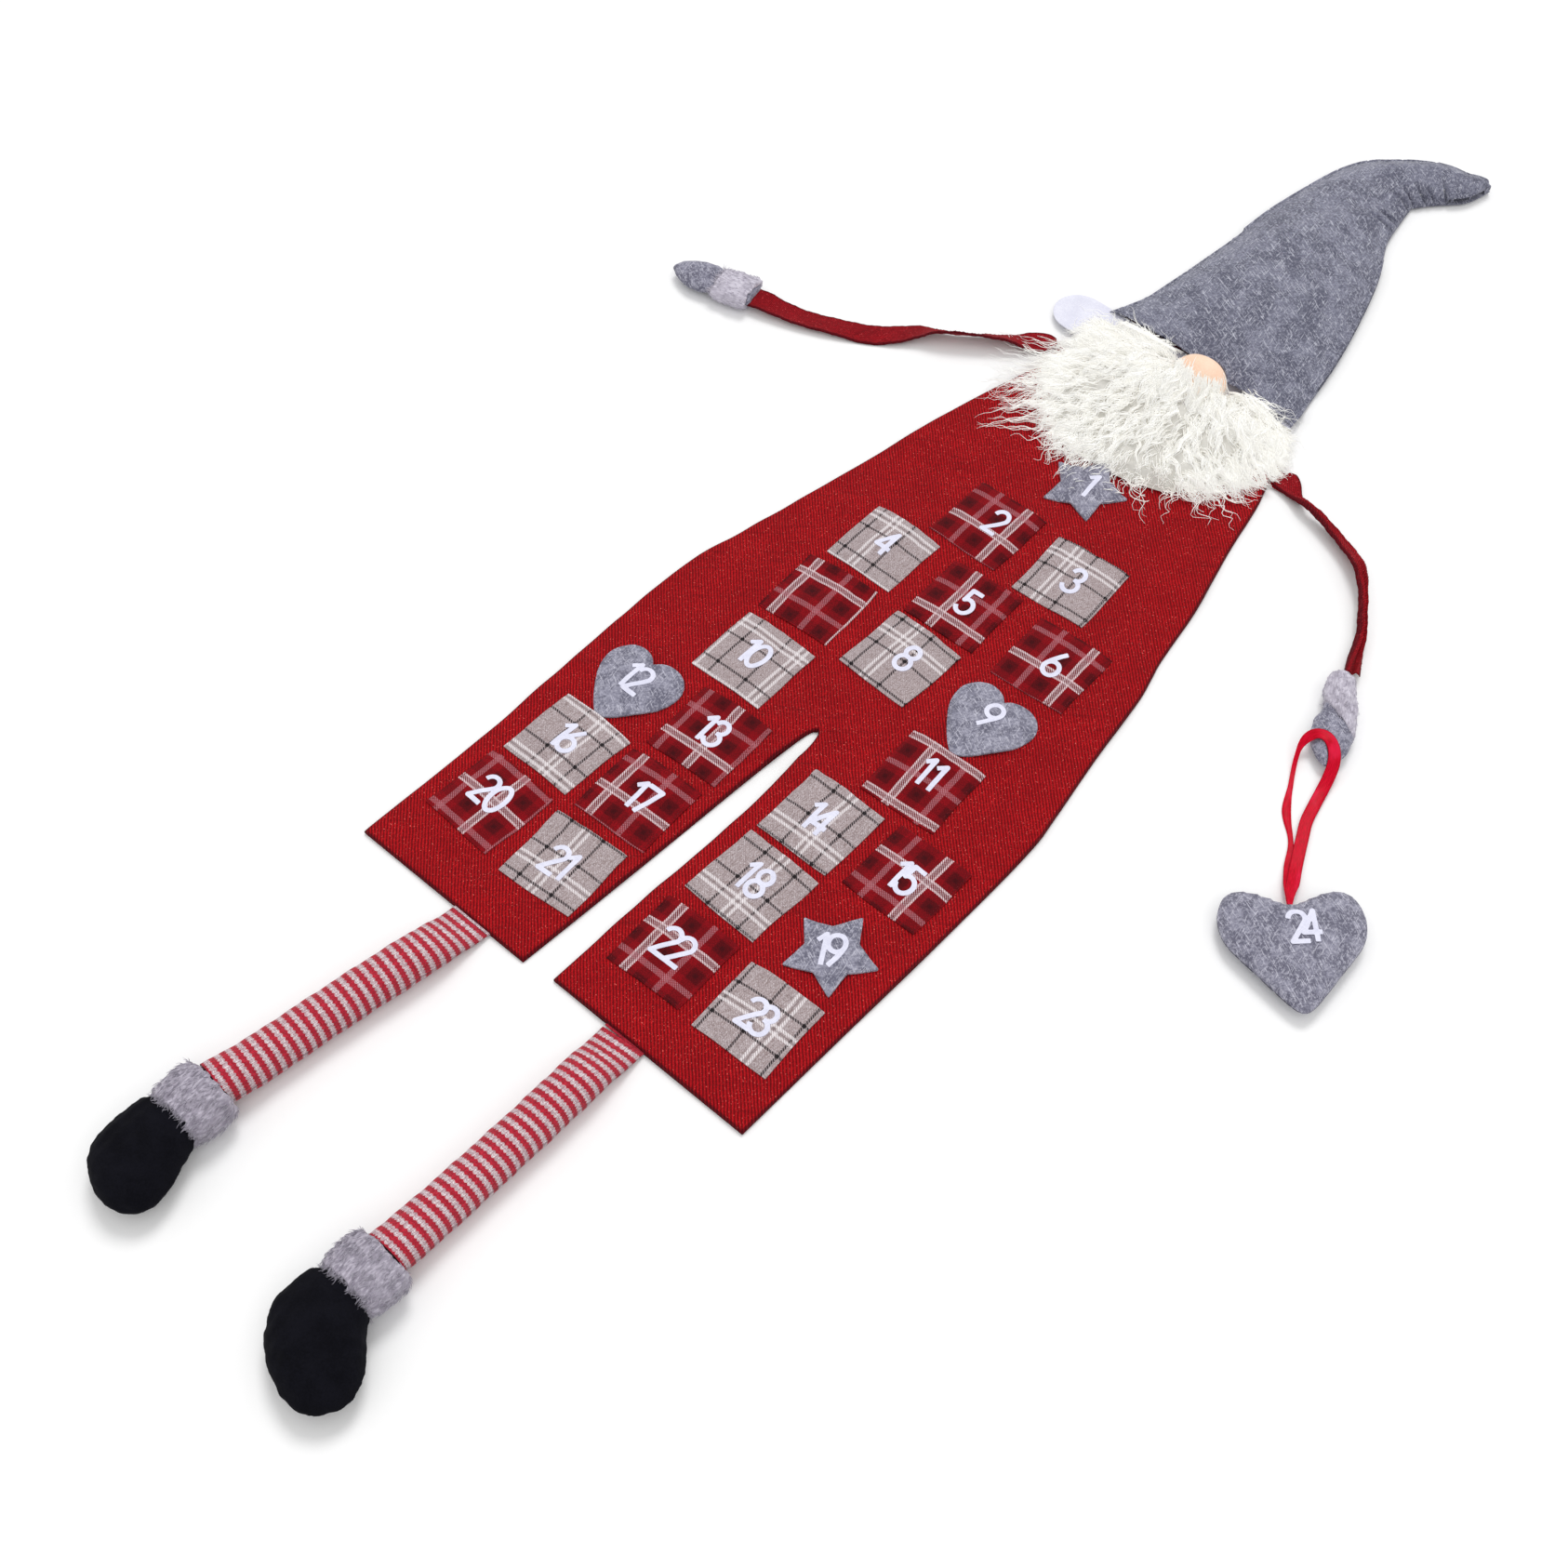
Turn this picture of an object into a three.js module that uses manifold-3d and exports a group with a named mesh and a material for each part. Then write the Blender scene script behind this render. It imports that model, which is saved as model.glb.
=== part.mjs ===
// Fabric advent calendar: a flat hanging gnome with sewn-on pockets, laid on its back.
// Millimetres. +X is across the body, +Y runs from the boots to the hat, +Z is up from the floor.
import * as THREE from 'three';
import { mergeVertices } from 'three/addons/utils/BufferGeometryUtils.js';
import Module from 'manifold-3d';

const wasm = await Module();
wasm.setup();

// Shared clearances
const seam = 0.3;             // gap between two cloths that touch
const overrun = 1;            // how far a cutting tool reaches past what it cuts

// Body cloths
const bodyHeight = 840;       // hem to the top edge, which is hidden under the hat
const bodyHalfWidth = 198;    // at the hips
const bodyOriginHeight = 400; // the part's origin, above the hem
const crotchHeight = 302;     // top of the slit above the hem
const slitHalfWidth = 21;     // slit at the hem, on its wider side
const leftHemDrop = 4;        // the left trouser leg hangs a little lower
const clothBack = 1.2;        // thickness of the back cloth
const clothFront = 1.2;       // thickness of the front cloth
const fleece = 2;             // thickness of the stiffening fleece
const seamRim = 5;            // width of the turned rim of the front cloth
const fleeceInset = 17;       // the fleece is cut this much smaller than the body
const outlineSteps = 28;      // points along each long edge
const slitSteps = 16;         // points round the slit

// Pockets
const pocketSide = 70;        // square pockets
const pocketCloth = 1;        // thickness of plaid and felt pockets
const pocketBow = 6.4;        // how far a pocket's middle stands off the body
const heartPocketWidth = 74;
const heartPocketHeight = 72;
const starPocketRadius = 40;
const starNotchRadius = 22;

// Hat
const hatBrimWidth = 206;     // across the brim
const hatBrimLeft = -116;     // left corner of the brim
const hatLap = 8;             // how far the brim laps over the body's top edge
const hatLength = 384;        // brim to the top of the bend
const hatCrown = 23;          // the stuffed front's rise above its seam
const felt = 1.5;             // thickness of the hat's felt
const hatBackLift = 1.8;      // room for the hanging loop behind the hat
const hatBackGap = 1;         // from the body's top edge to the hat's back felt
const hatArcSteps = 10;       // facets across the crown

// Hanging loop behind the hat
const loopWidth = 26;
const loopLength = 72;
const loopTape = 7;           // width of the tape
const loopThickness = 1.2;
const loopX = -22;
const loopRise = 210;         // from the body's top edge to the loop's middle
const loopArcSteps = 8;

// Nose
const noseRadius = 22;
const noseX = 2;
const noseDrop = 26;          // from the body's top edge to the nose's middle
const noseSunk = 2;           // how far the ball is flattened where it sits on the cloth

// Beard
const backing = 1.2;          // thickness of the beard's backing cloth
const foldDrop = 50;          // body's top edge to the line on which the beard's flap lifts
const beardTopDrop = 18.6;    // body's top edge to the upper edge of the long hair
const backingDrop = 4;        // body's top edge to the upper edge of the backing
const flapLength = 88;        // from the fold to the lower edge of the backing flap
const beardLength = 128;      // from the fold to the lower edge of the long hair
const beardLeft = -110;
const beardRight = 96;
const tongueLength = 50;      // bare backing that sticks out at the left
const tongueHeight = 47;
const furRise = 19;           // depth of the long hair above the backing
const furTopRise = 14;        // depth of the short hair beside the nose
const furLiftAngle = 28;      // slope of the hair's upper end, in degrees, so that the flap can lift
const foldStrip = 3;          // bare backing between the fold and the flap's hair
const furHang = 13.4;         // height at which the hair passes over the topmost pocket
const furThin = 4;            // least depth of the hair
const furHangRun = 12;        // length over which the hair rises to that height
const furHangEnd = 2;         // where that rise ends, above the flap's lower edge

// Arms
const strapWidth = 24;
const strapThickness = 2.2;
const tabWidth = 20;          // strap end caught in the side seam
const tabThickness = 1.1;
const tabDepth = 10;          // length inside the seam
const leftShoulderShare = 0.692;  // shares of the body's half width
const rightShoulderShare = 0.636;
const leftShoulderDrop = 77;  // from the body's top edge
const rightShoulderDrop = 72;
const leftArmReach = 231;     // shoulder to wrist, across
const leftArmFall = 134;      // shoulder to wrist, down
const rightArmReach = 157.7;
const rightArmFall = 139;
const lapRows = 3;            // rows of an arm's table that lie in the side seam's lap
const wristRows = 4;          // rows over which the tape rises to the wrist
const wristHeight = 8;        // centre of the strap's end above the floor

// Mittens
const mittenCuffLength = 36;
const mittenCuffWidth = 42;
const mittenCuffHeight = 19;
const mittenNeckWidth = 28;
const mittenNeckHeight = 11;
const leftMittenLength = 46;  // from the cuff to the tip
const rightMittenLength = 56;
const mittenWidth = 41;
const mittenHeight = 17;

// Legs
const leftLegShare = 0.379;   // places of the legs, as shares of the body's half width
const rightLegShare = 0.409;
const leftLegSway = 26;       // how far the ankle lies from the hem's mark, across
const rightLegSway = 5;
const leftLegLength = 228;
const rightLegLength = 234;
const legWidth = 34.5;
const legHeight = 29;
const legMouthWidth = 38;     // flattened top at the hem
const legMouthHeight = 2.8;
const legTabThickness = 1.4;
const legTabDepth = 12;       // length inside the hem seam
const hipDrop = 3.6;          // hinge line below the hem
const hipHeight = 2.7;        // hinge line above the floor
const ankleHeight = 20;       // centre of the ankle above the floor
const limbSides = 16;         // facets round a stuffed limb

// Boot cuffs and boots
const bootCuffLength = 37;
const bootCuffWidth = 59;
const bootCuffHeight = 40;
const bootNeckWidth = 46;
const bootNeckHeight = 31;
const bootDepth = 38;         // thickness of the stuffed boot
const leftBootWidth = 69;
const leftBootLength = 72;
const rightBootWidth = 86;
const rightBootLength = 76;

// Hanging heart and its ribbon
const heartWidth = 109;
const heartHeight = 104;
const heartRise = 10.5;       // half the stuffed thickness
const heartFelt = 1.4;
const heartEdge = 0.8;        // half the thickness that is left at the heart's edge
const heartAcross = 104.4;    // from the right wrist
const heartFall = 233;
const heartTurn = 42;         // degrees
const ribbonWidth = 10;
const ribbonThickness = 0.8;
const ribbonPinchShare = 0.36; // share of its width where it is stitched to the heart
const ribbonPinchRows = 3;    // rows of its route over which it widens

const round = THREE.MathUtils.degToRad(360);

// Heights of the layers above the floor
const fleeceZ = clothBack + seam;
const frontZ = fleeceZ + fleece + seam;
const bodyTop = frontZ + clothFront;
const seatZ = bodyTop + seam;
const backingTopZ = seatZ + backing;
const furZ = backingTopZ + seam;

// Places that follow the body's size
const hatBase = bodyHeight - hatLap;
const hatBackStart = bodyHeight + hatBackGap;
const loopY = bodyHeight + loopRise;
const noseY = bodyHeight - noseDrop;
const beardFold = bodyHeight - foldDrop;
const beardTop = bodyHeight - beardTopDrop;
const backingTop = bodyHeight - backingDrop;
const flapBottom = beardFold - flapLength;
const beardBottom = beardFold - beardLength;
const leftShoulder = at(-bodyHalfWidth * leftShoulderShare, bodyHeight - leftShoulderDrop);
const rightShoulder = at(bodyHalfWidth * rightShoulderShare, bodyHeight - rightShoulderDrop);
const rightWrist = at(rightShoulder.x + rightArmReach, rightShoulder.y - rightArmFall);
const heartCentre = at(rightWrist.x + heartAcross, rightWrist.y - heartFall);
const leftLegX = -bodyHalfWidth * leftLegShare;
const rightLegX = bodyHalfWidth * rightLegShare;
const leftHem = -leftHemDrop;
const rightHem = 0;

const part = new THREE.Group();

function place(name, geometry, color, roughness = 0.9) {
  const material = new THREE.MeshStandardMaterial({ color, roughness, metalness: 0 });
  const mesh = new THREE.Mesh(geometry, material);
  mesh.name = name;
  part.add(mesh);
  return mesh;
}

// Solids

function weld(geometry) {
  const bare = geometry.clone();
  for (const name of Object.keys(bare.attributes)) {
    if (name !== 'position') bare.deleteAttribute(name);
  }
  return mergeVertices(bare, seam / 300);
}

function solid(geometry) {
  const shell = weld(geometry);
  const vertProperties = Float32Array.from(shell.attributes.position.array);
  const triVerts = Uint32Array.from(shell.index.array);
  return new wasm.Manifold(new wasm.Mesh({ numProp: 3, vertProperties, triVerts }));
}

function geometryOf(body) {
  const mesh = body.getMesh();
  const geometry = new THREE.BufferGeometry();
  const positions = new Float32Array(mesh.numVert * 3);
  for (let i = 0; i < mesh.numVert; i += 1) {
    for (let k = 0; k < 3; k += 1) positions[3 * i + k] = mesh.vertProperties[mesh.numProp * i + k];
  }
  geometry.setAttribute('position', new THREE.BufferAttribute(positions, 3));
  geometry.setIndex(new THREE.BufferAttribute(Uint32Array.from(mesh.triVerts), 1));
  return geometry;
}

function meshOf(points, faces) {
  const geometry = new THREE.BufferGeometry();
  const flat = points.flatMap((p) => [p.x, p.y, p.z]);
  geometry.setAttribute('position', new THREE.Float32BufferAttribute(flat, 3));
  geometry.setIndex(faces.flat());
  return geometry;
}

// A flat piece: an outline, raised from one height to another.
function slab(outline, low, high, holes = []) {
  const shape = new THREE.Shape(outline);
  for (const hole of holes) shape.holes.push(new THREE.Path(hole));
  const geometry = new THREE.ExtrudeGeometry(shape, { depth: high - low, bevelEnabled: false });
  return geometry.translate(0, 0, low);
}

// A closed skin over loops of points that all have the same count, with a fan at either end.
function skin(loops) {
  const count = loops[0].length;
  const points = loops.flat();
  const faces = [];
  for (let i = 0; i + 1 < loops.length; i += 1) {
    for (let k = 0; k < count; k += 1) {
      const a = i * count + k;
      const b = i * count + (k + 1) % count;
      faces.push([a, b, b + count], [a, b + count, a + count]);
    }
  }
  const ends = [[0, 1], [loops.length - 1, -1]];
  for (const [row, way] of ends) {
    const centre = new THREE.Vector3();
    for (const p of loops[row]) centre.addScaledVector(p, 1 / count);
    points.push(centre);
    for (let k = 0; k < count; k += 1) {
      const a = row * count + k;
      const b = row * count + (k + 1) % count;
      faces.push(way > 0 ? [points.length - 1, b, a] : [points.length - 1, a, b]);
    }
  }
  return meshOf(points, faces);
}

// A round form over an outline: rings of the outline drawn in to its centre, with heights that follow
// the ring's share. The upper and lower faces meet in a wall round the outline.
function dome(outline, centre, ringShares, upper, lower) {
  const points = [];
  const faces = [];
  const count = outline.length;
  for (const height of [upper, lower]) {
    points.push(new THREE.Vector3(centre.x, centre.y, height(0, centre)));
    for (const share of ringShares) {
      for (const p of outline) {
        const q = new THREE.Vector2().lerpVectors(centre, p, share);
        points.push(new THREE.Vector3(q.x, q.y, height(share, q)));
      }
    }
  }
  const half = 1 + count * ringShares.length;
  for (let k = 0; k < count; k += 1) {
    const n = (k + 1) % count;
    faces.push([0, 1 + k, 1 + n], [half, half + 1 + n, half + 1 + k]);
    for (let r = 0; r + 1 < ringShares.length; r += 1) {
      const a = 1 + r * count + k;
      const b = 1 + r * count + n;
      faces.push([a, a + count, b + count], [a, b + count, b]);
      faces.push([half + a, half + b + count, half + a + count], [half + a, half + b, half + b + count]);
    }
    const last = 1 + (ringShares.length - 1) * count;
    faces.push([last + k, half + last + k, half + last + n], [last + k, half + last + n, last + n]);
  }
  return meshOf(points, faces);
}

// Outlines

function spline(points, steps) {
  return new THREE.SplineCurve(points).getPoints(steps);
}

function at(x, y) {
  return new THREE.Vector2(x, y);
}

// Moves each point of an outline inwards, square to its two sides.
function inset(outline, distance) {
  const count = outline.length;
  return outline.map((p, i) => {
    const before = at(0, 0).subVectors(p, outline[(i + count - 1) % count]).normalize();
    const after = at(0, 0).subVectors(outline[(i + 1) % count], p).normalize();
    const normal = at(-before.y - after.y, before.x + after.x).normalize();
    const stretch = Math.max(normal.dot(at(-after.y, after.x)), 1 / 3);
    return p.clone().addScaledVector(normal, distance / stretch);
  });
}

// Body outline: shares of the height and of the half width, from the hem up
const leftEdgeShares = [[0.143, 0.978], [0.286, 0.995], [0.345, 1.005], [0.429, 0.995], [0.476, 0.962],
  [0.536, 0.91], [0.595, 0.86], [0.667, 0.808], [0.738, 0.757], [0.798, 0.707], [0.857, 0.645],
  [0.915, 0.588], [1, 0.52]];
const rightEdgeShares = [[0.143, 0.995], [0.238, 1], [0.381, 0.995], [0.44, 0.962], [0.512, 0.91],
  [0.595, 0.86], [0.643, 0.808], [0.714, 0.757], [0.762, 0.707], [0.81, 0.657], [0.869, 0.606],
  [0.915, 0.552], [1, 0.49]];
// Slit: shares of its half width and of the crotch height
const leftSlitShares = [[-1, 0], [-0.78, 0.26], [-0.6, 0.53], [-0.45, 0.76], [-0.29, 0.93], [-0.16, 0.985]];
const rightSlitShares = [[0.16, 0.985], [0.26, 0.93], [0.42, 0.79], [0.46, 0.63], [0.36, 0.36], [0.34, 0]];

function bodyOutline() {
  const width = (share) => bodyHalfWidth * share;
  const height = (share) => bodyHeight * share;
  const right = [at(width(0.99), 0), ...rightEdgeShares.map(([h, w]) => at(width(w), height(h)))];
  const left = [...leftEdgeShares.map(([h, w]) => at(-width(w), height(h))).reverse(),
    at(-width(0.985), -leftHemDrop)];
  const slit = [...leftSlitShares, [0, 1], ...rightSlitShares];
  const inner = slit.map(([w, h]) => at(slitHalfWidth * w, crotchHeight * h));
  inner[0].y = -leftHemDrop;
  return [...spline(right, outlineSteps), ...spline(left, outlineSteps), ...spline(inner, slitSteps)];
}

// Shares of a heart's half width and height, from the notch round the right lobe to the tip
const pocketHeartShares = [[0, 0.245], [0.13, 0.31], [0.34, 0.352], [0.6, 0.355], [0.83, 0.3], [0.985, 0.18],
  [1, 0.03], [0.9, -0.14], [0.68, -0.32], [0.36, -0.52], [0.1, -0.64], [0, -0.66]];
const hangingHeartShares = [[0, 0.175], [0.12, 0.192], [0.28, 0.232], [0.48, 0.28], [0.7, 0.302],
  [0.87, 0.262], [0.97, 0.175], [1.02, 0.06], [0.99, -0.08], [0.89, -0.19], [0.7, -0.315],
  [0.46, -0.47], [0.22, -0.625], [0.07, -0.695], [0, -0.705]];

function heartOutline(heartShares, width, height, centre, turn) {
  const right = heartShares.map(([x, y]) => at(x * width / 2, y * height));
  const half = spline(right, heartShares.length + 1);
  const left = half.slice(1, -1).reverse().map((p) => at(-p.x, p.y));
  const whole = [...half, ...left].reverse();
  return whole.map((p) => p.rotateAround(at(0, 0), turn).add(centre));
}

function starOutline(centre, turn) {
  const tips = 5;
  const edgeSteps = 2;      // facets from a tip to a notch
  const tipRound = 0.93;    // share of the radius that the rounded tips keep
  const corners = [];
  for (let i = 0; i < 2 * tips; i += 1) {
    const angle = turn + round / 4 + i * round / (2 * tips);
    const radius = i % 2 === 0 ? starPocketRadius * tipRound : starNotchRadius;
    corners.push(at(radius * Math.cos(angle), radius * Math.sin(angle)));
  }
  const outline = [];
  corners.forEach((p, i) => {
    const next = corners[(i + 1) % corners.length];
    for (let k = 0; k < edgeSteps; k += 1) {
      outline.push(at(0, 0).lerpVectors(p, next, k / edgeSteps).add(centre));
    }
  });
  return outline;
}

// Body: a back cloth, a fleece, and a front cloth whose rim is turned down to the seam

const outline = bodyOutline();

function legTab(x, hem) {
  const low = hem - hipDrop + legMouthHeight / 2 + seam;
  const half = legMouthWidth / 2;
  const high = hem + legTabDepth;
  const corners = [at(x - half, low), at(x + half, low), at(x + half, high), at(x - half, high)];
  return slab(corners, fleeceZ, fleeceZ + legTabThickness);
}

// Where the body's side edge is at a height above the hem. way is 1 on the right and -1 on the left.
function sideEdge(height, way) {
  const edge = outline.filter((p) => p.x * way > slitHalfWidth).sort((a, b) => a.y - b.y);
  const above = edge.findIndex((p) => p.y >= height);
  const [low, high] = [edge[above - 1], edge[above]];
  return THREE.MathUtils.mapLinear(height, low.y, high.y, low.x, high.x);
}

// The strap end in the side seam: straight inside the body, round about the shoulder's pivot
function shoulderTab(pivot, way, low, high, spare = 0) {
  const half = tabWidth / 2 + spare;
  const inside = way * (pivot.x - sideEdge(pivot.y, way)) + tabDepth + spare;
  const arcSteps = 8;
  const points = [];
  for (let i = 0; i <= arcSteps; i += 1) {
    const angle = round / 4 - (i / arcSteps) * round / 2;
    points.push(at(pivot.x + way * half * Math.cos(angle), pivot.y + half * Math.sin(angle)));
  }
  points.push(at(pivot.x - way * inside, pivot.y - half), at(pivot.x - way * inside, pivot.y + half));
  return slab(way > 0 ? points.reverse() : points, low, high);
}

function frontCloth() {
  let cloth = solid(slab(outline, fleeceZ, bodyTop));
  cloth = cloth.subtract(solid(slab(inset(outline, seamRim), fleeceZ - overrun, frontZ)));
  for (const [x, hem] of [[leftLegX, leftHem], [rightLegX, rightHem]]) {
    const depth = legTabThickness + seam + overrun;
    const slot = new THREE.BoxGeometry(legMouthWidth + 2 * seam, 2 * (seamRim + overrun), depth);
    slot.translate(x, hem, fleeceZ + depth / 2 - overrun);
    cloth = cloth.subtract(solid(slot));
  }
  const slotTop = fleeceZ + tabThickness + seam;
  cloth = cloth.subtract(solid(shoulderTab(leftShoulder, -1, fleeceZ - overrun, slotTop, seam)));
  cloth = cloth.subtract(solid(shoulderTab(rightShoulder, 1, fleeceZ - overrun, slotTop, seam)));
  return geometryOf(cloth);
}

place('body_back_panel', slab(outline, 0, clothBack), 0x8f1420);
place('body_fleece', slab(inset(outline, fleeceInset), fleeceZ, fleeceZ + fleece), 0xd8d4cc);
place('body_front_panel', frontCloth(), 0x9c1521);
place('left_leg_tab', legTab(leftLegX, leftHem), 0xc9848f);
place('right_leg_tab', legTab(rightLegX, rightHem), 0xc9848f);
place('left_shoulder_tab', shoulderTab(leftShoulder, -1, fleeceZ, fleeceZ + tabThickness), 0x8f1420);
place('right_shoulder_tab', shoulderTab(rightShoulder, 1, fleeceZ, fleeceZ + tabThickness), 0x8f1420);

// Pockets: each is open at the top edge and sewn down on its other edges

// The middle of a pocket stands off the body. u runs across from -1 to 1, v from the lower seam at 0
// to the mouth at 1.
function bowShare(u, v) {
  const flatness = 0.8;     // less than 1 keeps the bow full towards the sides
  const fullShare = 0.55;   // share of the height at which the bow is full
  const across = Math.max(0, 1 - u * u) ** flatness;
  const along = Math.sin(Math.min(1, v / fullShare) * round / 4);
  return across * along;
}

function squarePocket(centre, turn, sideShare) {
  const columns = 6;
  const rows = 4;
  const side = pocketSide * sideShare;
  const cloth = new THREE.BoxGeometry(side, side, pocketCloth, columns, rows, 1);
  const positions = cloth.attributes.position;
  for (let i = 0; i < positions.count; i += 1) {
    const u = 2 * positions.getX(i) / side;
    const v = positions.getY(i) / side + 0.5;
    positions.setZ(i, positions.getZ(i) + pocketBow * bowShare(u, v));
  }
  cloth.rotateZ(THREE.MathUtils.degToRad(turn));
  return cloth.translate(centre.x, centre.y, seatZ + pocketCloth / 2);
}

// A felt pocket: its middle stands off and its mouth is the middle of the upper edge.
function feltPocket(shape, centre, halfMouth, mouthY, seamY) {
  const rings = [0.4, 0.72, 1];
  const rise = (share, p) => {
    const u = (p.x - centre.x) / halfMouth;
    const v = (p.y - centre.y - seamY) / (mouthY - seamY);
    return Math.abs(u) < 1 && v > 0 ? pocketBow * bowShare(u, Math.min(1, v)) : 0;
  };
  const height = (share, p) => seatZ + rise(share, p);
  return dome(shape, centre, rings, (share, p) => height(share, p) + pocketCloth, height);
}

// Number, kind, place as shares of the body's half width and height, turn in degrees, share of the side
const pocketShares = [
  [1, 'star', 0, 0.769, 3, 1], [2, 'red', -0.177, 0.6643, 0, 1], [3, 'light', 0.278, 0.6614, 3.3, 1],
  [4, 'light', -0.424, 0.5712, 0.2, 0.96], [5, 'red', 0.025, 0.5667, 2.5, 1],
  [6, 'red', 0.495, 0.5655, 2.5, 1], [7, 'red', -0.444, 0.4786, 4, 1],
  [8, 'light', 0.015, 0.475, -2.4, 1], [9, 'heart', 0.482, 0.4762, 0, 1],
  [10, 'light', -0.428, 0.3798, 1.2, 1.01], [11, 'red', 0.48, 0.3786, 3.5, 1],
  [12, 'heart', -0.702, 0.2869, 0, 1], [13, 'red', -0.293, 0.2845, 2.5, 1],
  [14, 'light', 0.313, 0.2805, 0.5, 1], [15, 'red', 0.732, 0.2857, 0.3, 1],
  [16, 'light', -0.692, 0.1886, -1.7, 1.01], [17, 'red', -0.293, 0.1869, 3.5, 1],
  [18, 'light', 0.307, 0.1873, -2, 1.02], [19, 'star', 0.737, 0.181, 2, 1],
  [20, 'red', -0.717, 0.094, -2.5, 1], [21, 'light', -0.298, 0.0905, 4.5, 0.99],
  [22, 'red', 0.293, 0.0893, 2, 1], [23, 'light', 0.721, 0.0893, 3.2, 0.99],
];
// Half width, upper edge and lower seam of a felt pocket's mouth, as shares of the star's radius or
// of the heart's height
const starMouthShares = [0.62, 0.4, -0.66];
const heartMouthShares = [0.45, 0.3, -0.55];
const pocketColors = { light: 0xb5a9ab, red: 0x7a1019, star: 0x96929f, heart: 0x96929f };

for (const [number, kind, x, y, turn, sideShare] of pocketShares) {
  const centre = at(bodyHalfWidth * x, bodyHeight * y);
  const angle = THREE.MathUtils.degToRad(turn);
  let cloth;
  if (kind === 'star') {
    const shape = starOutline(centre, angle);
    const [across, mouth, low] = starMouthShares.map((share) => starPocketRadius * share);
    cloth = feltPocket(shape, centre, across, mouth, low);
  } else if (kind === 'heart') {
    const shape = heartOutline(pocketHeartShares, heartPocketWidth, heartPocketHeight, centre, angle);
    const [across, mouth, low] = heartMouthShares.map((share) => heartPocketHeight * share);
    cloth = feltPocket(shape, centre, across, mouth, low);
  } else {
    cloth = squarePocket(centre, turn, sideShare);
  }
  place(`pocket_${String(number).padStart(2, '0')}_${kind}`, cloth, pocketColors[kind]);
}

// Hat: sections across it from the brim to the curled tip, each from its left edge to its right edge.
// Shares: left edge x and y, right edge x and y, the crown's rise. x follows the brim's width from its
// left corner, y the hat's length from its base.
const hatShares = [
  [0, 0, 1, -0.026, 0.52], [0.025, 0.03, 0.99, 0.026, 0.66], [0.06, 0.098, 0.972, 0.06, 0.84],
  [0.092, 0.242, 0.922, 0.216, 1], [0.121, 0.398, 0.85, 0.372, 1.04], [0.136, 0.542, 0.757, 0.529, 1],
  [0.175, 0.677, 0.655, 0.646, 0.87], [0.214, 0.776, 0.616, 0.745, 0.78], [0.282, 0.857, 0.602, 0.794, 0.76],
  [0.388, 0.924, 0.66, 0.836, 0.8], [0.524, 0.971, 0.723, 0.872, 0.84], [0.67, 0.997, 0.777, 0.906, 0.84],
  [0.782, 0.989, 0.81, 0.945, 0.6], [0.814, 0.968, 0.815, 0.958, 0.3],
];
const brimRows = 2;         // sections that lie over the body and the beard's backing
const tipShare = 0.4;       // least width of the hollow, as a share of the hat's
const backCornerShares = [0.03, 0.985];

function hatSections(inward, drop, start) {
  const loops = [];
  const rows = hatShares.slice(start);
  rows.forEach(([lx, ly, rx, ry, rise], i) => {
    const left = at(hatBrimLeft + lx * hatBrimWidth, hatBase + ly * hatLength);
    const right = at(hatBrimLeft + rx * hatBrimWidth, hatBase + ry * hatLength);
    const middle = at(0, 0).addVectors(left, right).multiplyScalar(0.5);
    const reach = at(0, 0).subVectors(right, left).multiplyScalar(0.5);
    const half = reach.length();
    const width = Math.max(half - inward, half * tipShare) / half;
    const over = i + start < brimRows;
    const base = (over ? furZ : hatBackLift + felt + seam) + seam;
    const crown = Math.max(hatCrown * rise - inward, felt);
    const loop = [];
    for (let k = 0; k <= hatArcSteps; k += 1) {
      const angle = (k / hatArcSteps) * round / 2;
      const x = middle.x - reach.x * width * Math.cos(angle);
      const y = middle.y - reach.y * width * Math.cos(angle);
      loop.push(new THREE.Vector3(x, y, base + crown * Math.sin(angle)));
    }
    const ends = [loop[hatArcSteps], loop[0]].map((p) => new THREE.Vector3(p.x, p.y, base - drop));
    loop.push(...ends);
    loops.push(loop);
  });
  return loops;
}

function nosePocket() {
  const bore = new THREE.CylinderGeometry(noseRadius + seam, noseRadius + seam, 4 * noseRadius, 24);
  return bore.rotateX(round / 4).translate(noseX, noseY, furZ + noseRadius);
}

function hatFront() {
  const outer = solid(skin(hatSections(0, seam, 0)));
  const inner = hatSections(felt, felt + overrun, 0);
  const ahead = inner[0].map((p) => p.clone().setY(p.y - 4 * felt));
  return geometryOf(outer.subtract(solid(skin([ahead, ...inner]))).subtract(solid(nosePocket())));
}

// The flat back felt follows the hat's edges above the body's top edge.
function hatBackOutline() {
  const left = [];
  const right = [];
  for (const [lx, ly, rx, ry] of hatShares.slice(brimRows)) {
    left.push(at(hatBrimLeft + lx * hatBrimWidth, hatBase + ly * hatLength));
    right.push(at(hatBrimLeft + rx * hatBrimWidth, hatBase + ry * hatLength));
  }
  const [lowLeft, lowRight] = backCornerShares.map((x) => at(hatBrimLeft + x * hatBrimWidth, hatBackStart));
  return [lowRight, ...right, ...left.reverse(), lowLeft];
}

function hatStuffing() {
  const loops = hatSections(felt + seam, 0, brimRows);
  for (const loop of loops) {
    const low = loop[0].z + seam;
    for (const p of loop) p.z = Math.max(p.z, low);
    for (const p of loop.slice(-2)) p.z = low - seam / 2;
  }
  return skin(loops);
}

place('hat_front', hatFront(), 0x7f7d88);
place('hat_back', slab(hatBackOutline(), hatBackLift, hatBackLift + felt), 0x7f7d88);
place('hat_stuffing', hatStuffing(), 0xe6e4e0);

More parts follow.
